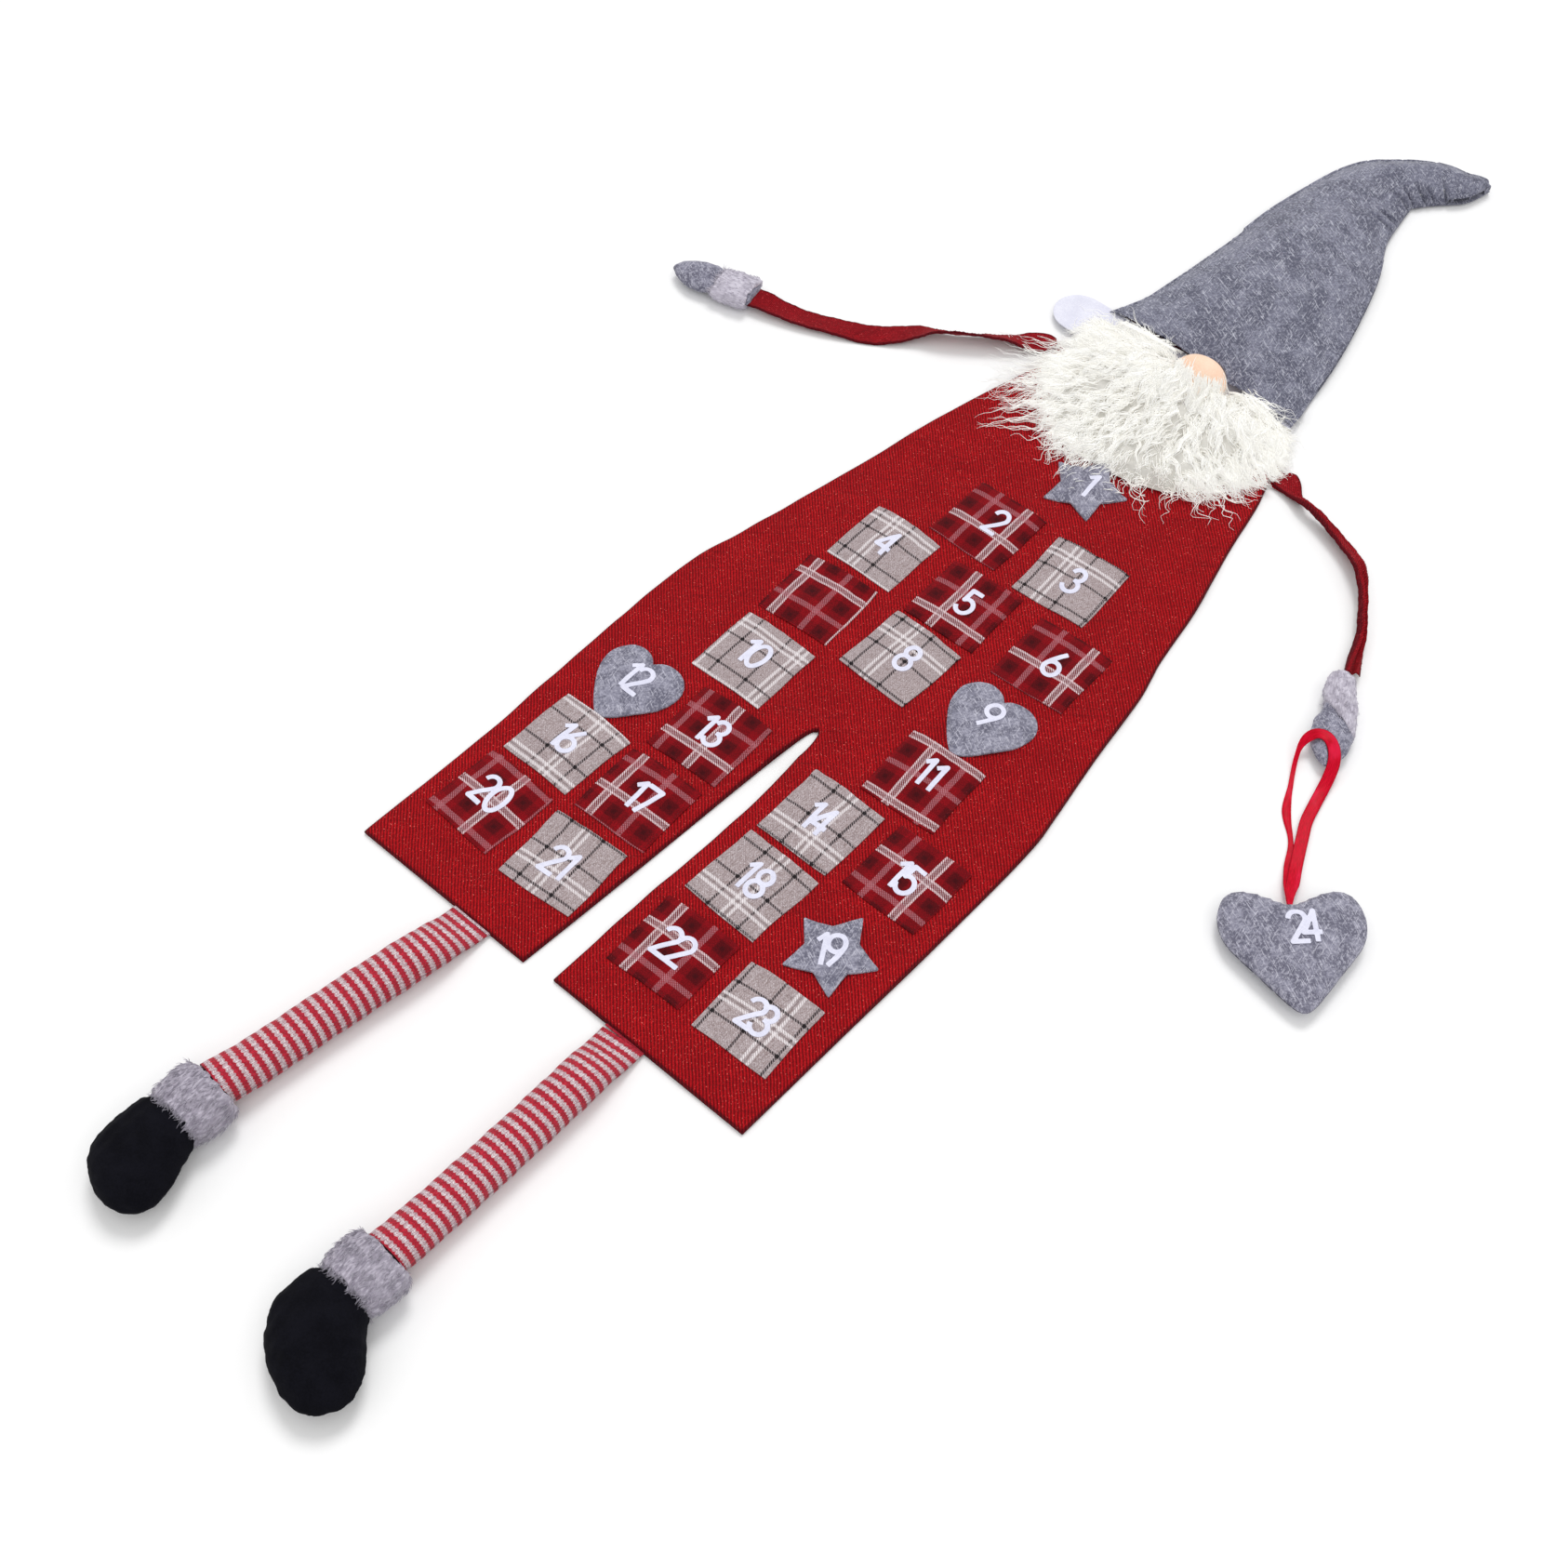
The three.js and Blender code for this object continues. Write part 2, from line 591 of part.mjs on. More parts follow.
function stadium(width, length) {
  const radius = width / 2;
  const points = [];
  for (const way of [1, -1]) {
    for (let i = 0; i <= loopArcSteps; i += 1) {
      const angle = (i / loopArcSteps) * round / 2 + (way > 0 ? 0 : round / 2);
      const middle = loopY + way * (length / 2 - radius);
      points.push(at(loopX + radius * Math.cos(angle), middle + radius * Math.sin(angle)));
    }
  }
  return points;
}

const loopZ = hatBackLift - seam - loopThickness;
place('hanging_loop', slab(stadium(loopWidth, loopLength), loopZ, loopZ + loopThickness,
  [stadium(loopWidth - 2 * loopTape, loopLength - 2 * loopTape)]), 0x9b98a6);

// Nose: a ball, cut flat where it sits on the backing
function nose() {
  const facets = 9;
  const cut = Math.asin((noseRadius - noseSunk) / noseRadius);
  const profile = [at(0, -noseRadius * Math.sin(cut))];
  for (let i = 0; i <= facets; i += 1) {
    const angle = -cut + (i / facets) * (cut + round / 4);
    profile.push(at(i === facets ? 0 : noseRadius * Math.cos(angle), noseRadius * Math.sin(angle)));
  }
  const ball = new THREE.LatheGeometry(profile, 18);
  return ball.rotateX(round / 4).translate(noseX, noseY, furZ + noseRadius - noseSunk);
}

place('nose', nose(), 0xf2c9ad, 0.7);

// Beard: backing cloth sewn under the brim, a flap that lifts, and the long hair on both

function backingBand() {
  const middle = (beardFold + backingTop) / 2;
  const topRightShare = 0.9;
  const topRight = at(beardRight * topRightShare, backingTop);
  const points = [at(beardRight, beardFold), topRight, at(beardLeft, backingTop)];
  const tongueSteps = 6;
  for (let i = 0; i <= tongueSteps; i += 1) {
    const angle = round / 4 + (i / tongueSteps) * round / 2;
    points.push(at(beardLeft - tongueLength / 2 + tongueLength / 2 * Math.cos(angle),
      middle + tongueHeight / 2 * Math.sin(angle)));
  }
  points.push(at(beardLeft, beardFold));
  return slab(points, seatZ, backingTopZ);
}

function flapBacking() {
  const top = beardFold - seam;
  const drop = top - flapBottom;
  // shares of the beard's half width, and of the flap's drop from the fold
  const edgeShares = [[1, 0], [0.98, 0.35], [0.9, 0.7], [0.62, 0.95], [0.2, 1]];
  const middle = (beardLeft + beardRight) / 2;
  const half = (beardRight - beardLeft) / 2;
  const left = edgeShares.map(([w, h]) => at(middle - half * w, top - drop * h));
  const right = edgeShares.map(([w, h]) => at(middle + half * w, top - drop * h)).reverse();
  return slab([...left, ...right], seatZ, backingTopZ);
}

// Long hair: a thick soft pad that slopes up from the fold and passes over the topmost pocket
function flapFur() {
  const columns = 10;
  const rows = 7;
  const pad = new THREE.BoxGeometry(1, 1, 1, columns, rows, 1);
  const top = beardFold - foldStrip;
  const length = top - beardBottom;
  const middle = (beardLeft + beardRight) / 2;
  const slope = Math.tan(THREE.MathUtils.degToRad(furLiftAngle));
  const hangEnd = top - flapBottom - furHangEnd;
  const positions = pad.attributes.position;
  for (let i = 0; i < positions.count; i += 1) {
    const u = 2 * positions.getX(i);
    const v = 0.5 - positions.getY(i);
    const upper = positions.getZ(i) > 0;
    const taper = 1 - 0.62 * Math.max(0, v - 0.35) ** 1.6;
    const x = middle + (beardRight - beardLeft) / 2 * 1.04 * u * taper;
    const y = top - length * v * (1 - 0.14 * u * u);
    const hang = THREE.MathUtils.smoothstep(top - y, hangEnd - furHangRun, hangEnd);
    const low = furZ + (furHang - furZ) * hang;
    const crown = furRise * (1 - 0.45 * u ** 4) * (1 - 0.55 * v * v);
    const wedge = backingTopZ + slope * (beardFold - y);
    const high = Math.max(low + furThin / 4, Math.min(wedge, low + furThin + crown));
    positions.setXYZ(i, x, y, upper ? high : low);
  }
  return pad;
}

// Short hair beside the nose, between the fold and the brim
function topFur(from, to) {
  const columns = 6;
  const pad = new THREE.BoxGeometry(1, 1, 1, columns, 3, 1);
  const positions = pad.attributes.position;
  for (let i = 0; i < positions.count; i += 1) {
    const u = positions.getX(i) + 0.5;
    const v = positions.getY(i) + 0.5;
    const upper = positions.getZ(i) > 0;
    const x = from + (to - from) * u;
    const y = beardFold + seam + (beardTop - beardFold - seam) * v;
    const crown = furTopRise * (1 - 0.5 * (2 * u - 1) ** 4);
    positions.setXYZ(i, x, y, upper ? furZ + crown : furZ);
  }
  return geometryOf(solid(pad).subtract(solid(nosePocket())));
}

place('beard_backing_band', backingBand(), 0xdedcea);
place('beard_backing_flap', flapBacking(), 0xdedcea);
place('beard_fur_flap', flapFur(), 0xf3f0e6);
place('beard_fur_left', topFur(beardLeft, noseX - noseRadius / 2), 0xf3f0e6);
place('beard_fur_right', topFur(noseX + noseRadius / 2, beardRight), 0xf3f0e6);

// Arms: flat tapes that twist as they lie, as a sweep of a thin section

// Each row: x, y, the tape's tilt in degrees, and the share of its width
function tape(rows, width, thickness, heights) {
  const steps = 3;      // sections between two rows
  const centres = rows.map(([x, y]) => new THREE.Vector3(x, y, 0));
  const curve = new THREE.CatmullRomCurve3(centres, false, 'centripetal');
  const count = (rows.length - 1) * steps;
  const loops = [];
  for (let i = 0; i <= count; i += 1) {
    const t = i / count;
    const row = Math.min(Math.floor(i / steps), rows.length - 2);
    const mix = (k) => THREE.MathUtils.lerp(rows[row][k], rows[row + 1][k], i / steps - row);
    const centre = curve.getPoint(t);
    const ahead = curve.getTangent(t);
    const tilt = THREE.MathUtils.degToRad(mix(2));
    const side = new THREE.Vector3(-ahead.y * Math.cos(tilt), ahead.x * Math.cos(tilt), Math.sin(tilt));
    const up = new THREE.Vector3().crossVectors(ahead, side);
    const half = width * mix(3) / 2;
    const lowest = half * Math.abs(Math.sin(tilt)) + thickness / 2 * Math.cos(tilt);
    centre.z = Math.max(heights(t), lowest + seam);
    const corners = [[1, 1], [-1, 1], [-1, -1], [1, -1]];
    loops.push(corners.map(([a, b]) => centre.clone().addScaledVector(side, a * half)
      .addScaledVector(up, b * thickness / 2)));
  }
  return skin(loops);
}

const lapZ = fleeceZ + tabThickness + seam + strapThickness / 2;
// Each row: shares of the arm's reach and of its fall, tilt in degrees, and share of the tape's width
const leftArmShares = [
  [-0.037, -0.054, 0, 0.35], [-0.024, -0.034, 0, 0.8], [0, 0, 0, 1], [0.045, 0.06, 0, 1],
  [0.091, 0.123, 28, 1], [0.152, 0.203, 38, 1], [0.221, 0.295, 44, 1], [0.273, 0.362, 46, 1],
  [0.329, 0.422, 40, 1], [0.394, 0.489, 20, 1], [0.468, 0.608, 6, 1], [0.541, 0.705, 0, 1],
  [0.662, 0.81, 8, 1], [0.792, 0.904, 10, 1], [0.9, 0.959, 6, 1], [0.952, 0.981, 0, 1], [1, 1, 0, 1],
];
const rightArmShares = [
  [-0.064, -0.031, 0, 0.35], [-0.039, -0.019, 0, 0.8], [0, 0, 0, 1], [0.077, 0.036, 0, 1],
  [0.159, 0.072, -34, 1], [0.279, 0.112, -44, 1], [0.406, 0.155, -30, 1], [0.52, 0.198, -24, 1],
  [0.621, 0.27, -44, 1], [0.713, 0.403, -62, 1], [0.799, 0.547, -68, 1], [0.872, 0.691, -62, 1],
  [0.932, 0.835, -34, 1], [0.967, 0.921, 0, 1], [1, 1, 0, 1],
];

function armRows(shoulder, way, reach, fall, shares) {
  const across = (share) => shoulder.x + way * reach * share;
  return shares.map(([x, y, tilt, width]) => [across(x), shoulder.y - fall * y, tilt, width]);
}

const leftArmRows = armRows(leftShoulder, -1, leftArmReach, leftArmFall, leftArmShares);
const rightArmRows = armRows(rightShoulder, 1, rightArmReach, rightArmFall, rightArmShares);

function armHeights(rows) {
  const lapShare = lapRows / (rows.length - 1);
  const endShare = 1 - wristRows / (rows.length - 1);
  return (t) => {
    const shoulder = lapZ * (1 - THREE.MathUtils.smoothstep(t, lapShare, 2 * lapShare));
    const wrist = wristHeight * THREE.MathUtils.smoothstep(t, endShare, 1 - 1 / (rows.length - 1));
    return Math.max(shoulder, wrist);
  };
}

place('left_arm', tape(leftArmRows, strapWidth, strapThickness, armHeights(leftArmRows)), 0x8f1420);
place('right_arm', tape(rightArmRows, strapWidth, strapThickness, armHeights(rightArmRows)), 0x8f1420);

// Stuffed limbs: sections along a line, each with its half width and half height

function limb(sections) {
  const loops = sections.map(({ centre, side, up, half, rise }) => {
    const loop = [];
    for (let k = 0; k < limbSides; k += 1) {
      const angle = (k / limbSides) * round;
      const out = centre.clone().addScaledVector(side, half * Math.cos(angle));
      loop.push(out.addScaledVector(up, rise * Math.sin(angle)));
    }
    return loop;
  });
  return skin(loops);
}

const upward = new THREE.Vector3(0, 0, 1);

// A hand or foot has its own frame: it starts at a point and runs along a level direction.
function frameAt(x, y, z, heading) {
  const start = new THREE.Vector3(x, y, z);
  const ahead = new THREE.Vector3(Math.cos(heading), Math.sin(heading), 0);
  const side = new THREE.Vector3().crossVectors(upward, ahead);
  return { start, ahead, side };
}

function sectionsAlong(frame, rows) {
  return rows.map(([along, across, half, rise, lift]) => ({
    centre: frame.start.clone().addScaledVector(frame.ahead, along).addScaledVector(frame.side, across)
      .addScaledVector(upward, lift),
    side: frame.side,
    up: upward,
    half,
    rise,
  }));
}

// A plush cuff: a fat band with a flattened bore
function plushCuff(frame, length, width, height, boreWidth, boreHeight) {
  const bulgeShares = [[0, 0.86], [0.14, 0.97], [0.4, 1], [0.7, 0.98], [0.9, 0.93], [1, 0.82]];
  const oval = (along, wide, high, share) => [along, 0, wide / 2 * share, high / 2 * share, 0];
  const rows = bulgeShares.map(([along, share]) => oval(length * along, width, height, share));
  const boreRows = [-overrun, length + overrun].map((along) => oval(along, boreWidth, boreHeight, 1));
  const bore = solid(limb(sectionsAlong(frame, boreRows)));
  return geometryOf(solid(limb(sectionsAlong(frame, rows))).subtract(bore));
}

function endFrame(rows, z, ahead) {
  const [x1, y1] = rows[rows.length - 2];
  const [x2, y2] = rows[rows.length - 1];
  const heading = Math.atan2(y2 - y1, x2 - x1);
  return frameAt(x2 + ahead * Math.cos(heading), y2 + ahead * Math.sin(heading), z, heading);
}

function mitten(frame, length) {
  const w = mittenWidth / 2;
  const h = mittenHeight / 2;
  const neck = mittenCuffLength;
  const rest = h - frame.start.z + seam;      // lowers the stuffed palm on to the floor
  const rows = [0, neck + seam].map((along) => [along, 0, mittenNeckWidth / 2, mittenNeckHeight / 2, 0]);
  const palmShares = [[0.06, 0.8, 0.72, 0.2], [0.22, 0.97, 0.95, 0.75], [0.45, 1, 1, 1],
    [0.68, 0.88, 0.88, 1], [0.86, 0.62, 0.62, 0.9], [0.97, 0.3, 0.34, 0.8], [1, 0.12, 0.16, 0.8]];
  for (const [along, width, height, drop] of palmShares) {
    rows.push([neck + seam + length * along, 0, w * width, h * height, rest * drop]);
  }
  return limb(sectionsAlong(frame, rows));
}

const hands = [['left', leftArmRows, leftMittenLength], ['right', rightArmRows, rightMittenLength]];
for (const [name, rows, length] of hands) {
  const frame = endFrame(rows, wristHeight, seam);
  const cuffFrame = { ...frame, start: frame.start.clone().setZ(mittenCuffHeight / 2 + seam) };
  place(`${name}_mitten`, mitten(cuffFrame, length), 0x96929f);
  place(`${name}_mitten_cuff`, plushCuff(cuffFrame, mittenCuffLength, mittenCuffWidth, mittenCuffHeight,
    mittenNeckWidth + 2 * seam, mittenNeckHeight + 2 * seam), 0xb4b0bd);
}

// Legs: knit tubes, flat at the hem, round below, from the hip's hinge line to the ankle

// Sections below the hinge line. Shares: of the leg's length, of the width, of the height, and of the
// rise from the hinge line's height to the ankle's.
const legShares = [[0.0215, 1, 0.063, 0.01], [0.043, 0.99, 0.115, 0.06], [0.086, 0.97, 0.245, 0.28],
  [0.155, 0.94, 0.42, 0.57], [0.24, 0.92, 0.5, 0.7], [0.43, 0.91, 0.5, 0.7], [0.64, 0.91, 0.5, 0.7],
  [0.84, 0.92, 0.5, 0.75], [1, 0.95, 0.5, 1]];
const kneeShare = 0.91;       // the narrowest share of the width, at the knee
// The flat mouth above the hinge line: shares of its half height, above the line and in height
const mouthShares = [[-0.86, 0.5], [-0.5, 0.86], [0, 1]];
// The leg's line: shares of its sway and of its length
const leftSwayShares = [[0.04, 0.237], [0.33, 0.445], [0.6, 0.657], [0.83, 0.869], [1, 1]];
const rightSwayShares = [[0.9, 0.231], [1, 0.434], [0.9, 0.64], [0.8, 0.847], [0.8, 1]];

function leg(x, sway, length, swayShares, hem) {
  const hinge = hem - hipDrop;
  const drop = hinge + length;
  const line = swayShares.map(([across, along]) => at(x + sway * across, -length * along));
  const path = new THREE.SplineCurve([at(x, hinge), ...line]);
  const mouth = legMouthHeight / 2;
  const stations = [
    ...mouthShares.map(([below, high]) => [mouth * below, legMouthWidth / 2, mouth * high, 0]),
    ...legShares.map(([along, wide, high, lift], i) => [drop * along,
      i === 0 ? legMouthWidth / 2 : legWidth / 2 * wide / kneeShare, legHeight * high, lift]),
  ];
  const sections = stations.map(([below, half, rise, lift]) => {
    const p = path.getPointAt(THREE.MathUtils.clamp(below / drop, 0, 1));
    const centre = new THREE.Vector3(p.x, hinge - below, THREE.MathUtils.lerp(hipHeight, ankleHeight, lift));
    return { centre, side: new THREE.Vector3(1, 0, 0), up: upward, half, rise };
  });
  return { geometry: limb(sections), centre: sections[sections.length - 1].centre };
}

// Boot outlines: shares of the boot's length from the cuff down, its offset across and its width
const leftBootShares = [[0.04, 0.03, 0.8, 0.8], [0.2, 0, 0.87, 0.95], [0.38, -0.04, 0.95, 1],
  [0.55, -0.07, 1, 1], [0.7, -0.1, 0.97, 0.96], [0.84, -0.13, 0.82, 0.82], [0.95, -0.16, 0.5, 0.55],
  [1, -0.18, 0.2, 0.24]];
const rightBootShares = [[0.04, 0.02, 0.66, 0.82], [0.16, -0.02, 0.76, 0.94], [0.3, -0.08, 0.9, 1],
  [0.45, -0.13, 1, 1], [0.6, -0.19, 0.98, 0.97], [0.76, -0.24, 0.84, 0.85], [0.91, -0.3, 0.56, 0.58],
  [1, -0.35, 0.2, 0.24]];

function boot(frame, width, length, shares) {
  const neck = bootCuffLength;
  const rest = bootDepth / 2 - frame.start.z + seam;
  const rows = [0, neck + seam].map((along) => [along, 0, bootNeckWidth / 2, bootNeckHeight / 2, 0]);
  for (const [along, across, wide, high] of shares) {
    rows.push([neck + seam + length * along, -width * across, width / 2 * wide, bootDepth / 2 * high, rest]);
  }
  return limb(sectionsAlong(frame, rows));
}

const leftLeg = leg(leftLegX, -leftLegSway, leftLegLength, leftSwayShares, leftHem);
const rightLeg = leg(rightLegX, rightLegSway, rightLegLength, rightSwayShares, rightHem);
const feet = [
  ['left', leftLeg, leftBootWidth, leftBootLength, leftBootShares],
  ['right', rightLeg, rightBootWidth, rightBootLength, rightBootShares],
];
for (const [name, { geometry, centre }, width, length, shares] of feet) {
  const frame = frameAt(centre.x, centre.y - seam, centre.z, -round / 4);
  place(`${name}_leg`, geometry, 0xd7a3ad);
  place(`${name}_boot_cuff`, plushCuff(frame, bootCuffLength, bootCuffWidth, bootCuffHeight - 2 * seam,
    bootNeckWidth + 2 * seam, bootNeckHeight + 2 * seam), 0xb8b1bb);
  place(`${name}_boot`, boot(frame, width, length, shares), 0x16161a);
}

// Hanging heart: two felt faces and a stuffing

const heartAngle = THREE.MathUtils.degToRad(heartTurn);
const heartMid = heartRise + heartEdge + seam;

function puff(share, rise) {
  return rise * Math.sqrt(Math.max(0, 1 - share ** 2.6));
}

function heartFace(way) {
  const shape = heartOutline(hangingHeartShares, heartWidth, heartHeight, heartCentre, heartAngle);
  const rings = [0.42, 0.72, 0.9, 1];
  const outside = (s) => heartMid + way * (puff(s, heartRise) + heartEdge);
  const inside = (s) => heartMid + way * (puff(s, heartRise - heartFelt) + seam / 2);
  const [upper, lower] = way > 0 ? [outside, inside] : [inside, outside];
  return dome(shape, heartCentre, rings, upper, lower);
}

function heartStuffing() {
  const shape = heartOutline(hangingHeartShares, heartWidth, heartHeight, heartCentre, heartAngle);
  const rings = [0.42, 0.72, 0.85];
  const thinShare = 1.05;       // the stuffing thins out a little before the felt does
  const rise = (s) => puff(thinShare * s, heartRise - heartFelt) - seam;
  return dome(shape, heartCentre, rings, (s) => heartMid + rise(s), (s) => heartMid - rise(s));
}

place('heart_front', heartFace(1), 0x96929f);
place('heart_back', heartFace(-1), 0x96929f);
place('heart_stuffing', heartStuffing(), 0xe6e4e0);

// Ribbon: one loop from the heart's notch, over the right mitten and back. Each row: x and y from the
// right wrist, and the height above the floor.
const ribbonPoints = [
  [91.1, -218.3, 11], [87.2, -212.2, 9.4], [82.6, -204.4, 6.4], [76.5, -194.6, 3.2], [68.4, -181.5, 1],
  [60.1, -168.5, 0.8], [51.8, -157.8, 0.8], [44.2, -150, 0.8], [37, -141.5, 0.8], [31.5, -132, 0.8],
  [25.4, -119.5, 0.9], [19.2, -107.5, 1.6], [14.2, -97, 4.4], [11.3, -88, 8.6], [12, -80.5, 12.8],
  [15.6, -75.4, 16], [21.5, -73, 17.6], [28.5, -74.2, 17.2], [35.3, -78.6, 15], [40.6, -85.6, 11.2],
  [44, -95.5, 6.6], [47, -109, 3.2], [50.4, -124.5, 2.3], [54.4, -140.2, 2.3], [60.6, -154.4, 2.3],
  [66.6, -167.6, 2.3], [73.2, -181.7, 2.7], [79.8, -194.9, 5], [83.8, -204.4, 8], [87.8, -212, 10.9],
  [91.4, -218, 12.3],
];

function ribbon() {
  const steps = 2;          // sections between two rows
  const route = ribbonPoints.map(([x, y, z]) => new THREE.Vector3(rightWrist.x + x, rightWrist.y + y, z));
  const curve = new THREE.CatmullRomCurve3(route, false, 'centripetal');
  const count = (ribbonPoints.length - 1) * steps;
  const loops = [];
  for (let i = 0; i <= count; i += 1) {
    const centre = curve.getPoint(i / count);
    const ahead = curve.getTangent(i / count);
    const side = new THREE.Vector3().crossVectors(upward, ahead).normalize();
    const up = new THREE.Vector3().crossVectors(ahead, side);
    const fromEnd = Math.min(i, count - i) / steps;
    const widening = (1 - ribbonPinchShare) * fromEnd / ribbonPinchRows;
    const half = ribbonWidth / 2 * Math.min(1, ribbonPinchShare + widening);
    const corners = [[1, 1], [-1, 1], [-1, -1], [1, -1]];
    loops.push(corners.map(([a, b]) => centre.clone().addScaledVector(side, a * half)
      .addScaledVector(up, b * ribbonThickness / 2)));
  }
  return skin(loops);
}

place('heart_ribbon', ribbon(), 0xc01226, 0.4);

part.position.y = -bodyOriginHeight;

export default part;
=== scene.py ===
"""Looks of a fabric advent calendar: a cloth gnome lying on its back, with numbered pockets."""

import math

import bmesh
import bpy
import numpy as np
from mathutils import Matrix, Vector
from mathutils.bvhtree import BVHTree
from mathutils.geometry import delaunay_2d_cdt


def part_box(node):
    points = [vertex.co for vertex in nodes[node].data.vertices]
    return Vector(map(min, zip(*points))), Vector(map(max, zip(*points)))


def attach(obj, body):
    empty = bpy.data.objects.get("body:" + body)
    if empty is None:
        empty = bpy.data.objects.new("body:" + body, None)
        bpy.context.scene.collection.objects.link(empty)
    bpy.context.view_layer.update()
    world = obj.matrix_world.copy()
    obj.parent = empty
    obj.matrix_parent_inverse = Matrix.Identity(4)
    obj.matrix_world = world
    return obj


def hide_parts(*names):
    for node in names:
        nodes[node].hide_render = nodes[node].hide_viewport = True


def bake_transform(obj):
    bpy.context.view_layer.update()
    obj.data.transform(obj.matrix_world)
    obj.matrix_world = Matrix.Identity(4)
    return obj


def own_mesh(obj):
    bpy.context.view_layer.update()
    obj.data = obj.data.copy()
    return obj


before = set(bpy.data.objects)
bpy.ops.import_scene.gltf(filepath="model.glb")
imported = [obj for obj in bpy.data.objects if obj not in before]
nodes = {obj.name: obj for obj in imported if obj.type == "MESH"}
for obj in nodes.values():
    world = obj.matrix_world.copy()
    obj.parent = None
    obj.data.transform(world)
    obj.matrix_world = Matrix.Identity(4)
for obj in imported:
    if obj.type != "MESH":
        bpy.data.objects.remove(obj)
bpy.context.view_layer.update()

MM = 0.001


# Camera, at the photograph's angle

FOCAL_SHARE = 2564.02 / 1686
SENSOR = 36.0
AIM = Vector((0.0136, -0.1533, 0.0))
DISTANCE = 1.8633
CLIP = (0.05, 20.0)
AZIMUTH = math.radians(42.0)
ELEVATION = math.radians(54.39)

back = Vector((math.sin(AZIMUTH) * math.cos(ELEVATION), -math.cos(AZIMUTH) * math.cos(ELEVATION),
               math.sin(ELEVATION)))
camera = bpy.data.objects.new("camera", bpy.data.cameras.new("camera"))
bpy.context.scene.collection.objects.link(camera)
camera.data.sensor_width = SENSOR
camera.data.lens = FOCAL_SHARE * SENSOR
camera.data.clip_start, camera.data.clip_end = CLIP
camera.location = AIM + DISTANCE * back
camera.rotation_mode = "QUATERNION"
camera.rotation_quaternion = (-back).to_track_quat("-Z", "Y")
bpy.context.scene.camera = camera


# Colours and node graphs

def linear(*rgb):
    """An 8-bit sRGB colour as linear light, with alpha."""
    out = [c / 255 for c in rgb]
    return tuple([c / 12.92 if c <= 0.04045 else ((c + 0.055) / 1.055) ** 2.4 for c in out] + [1.0])


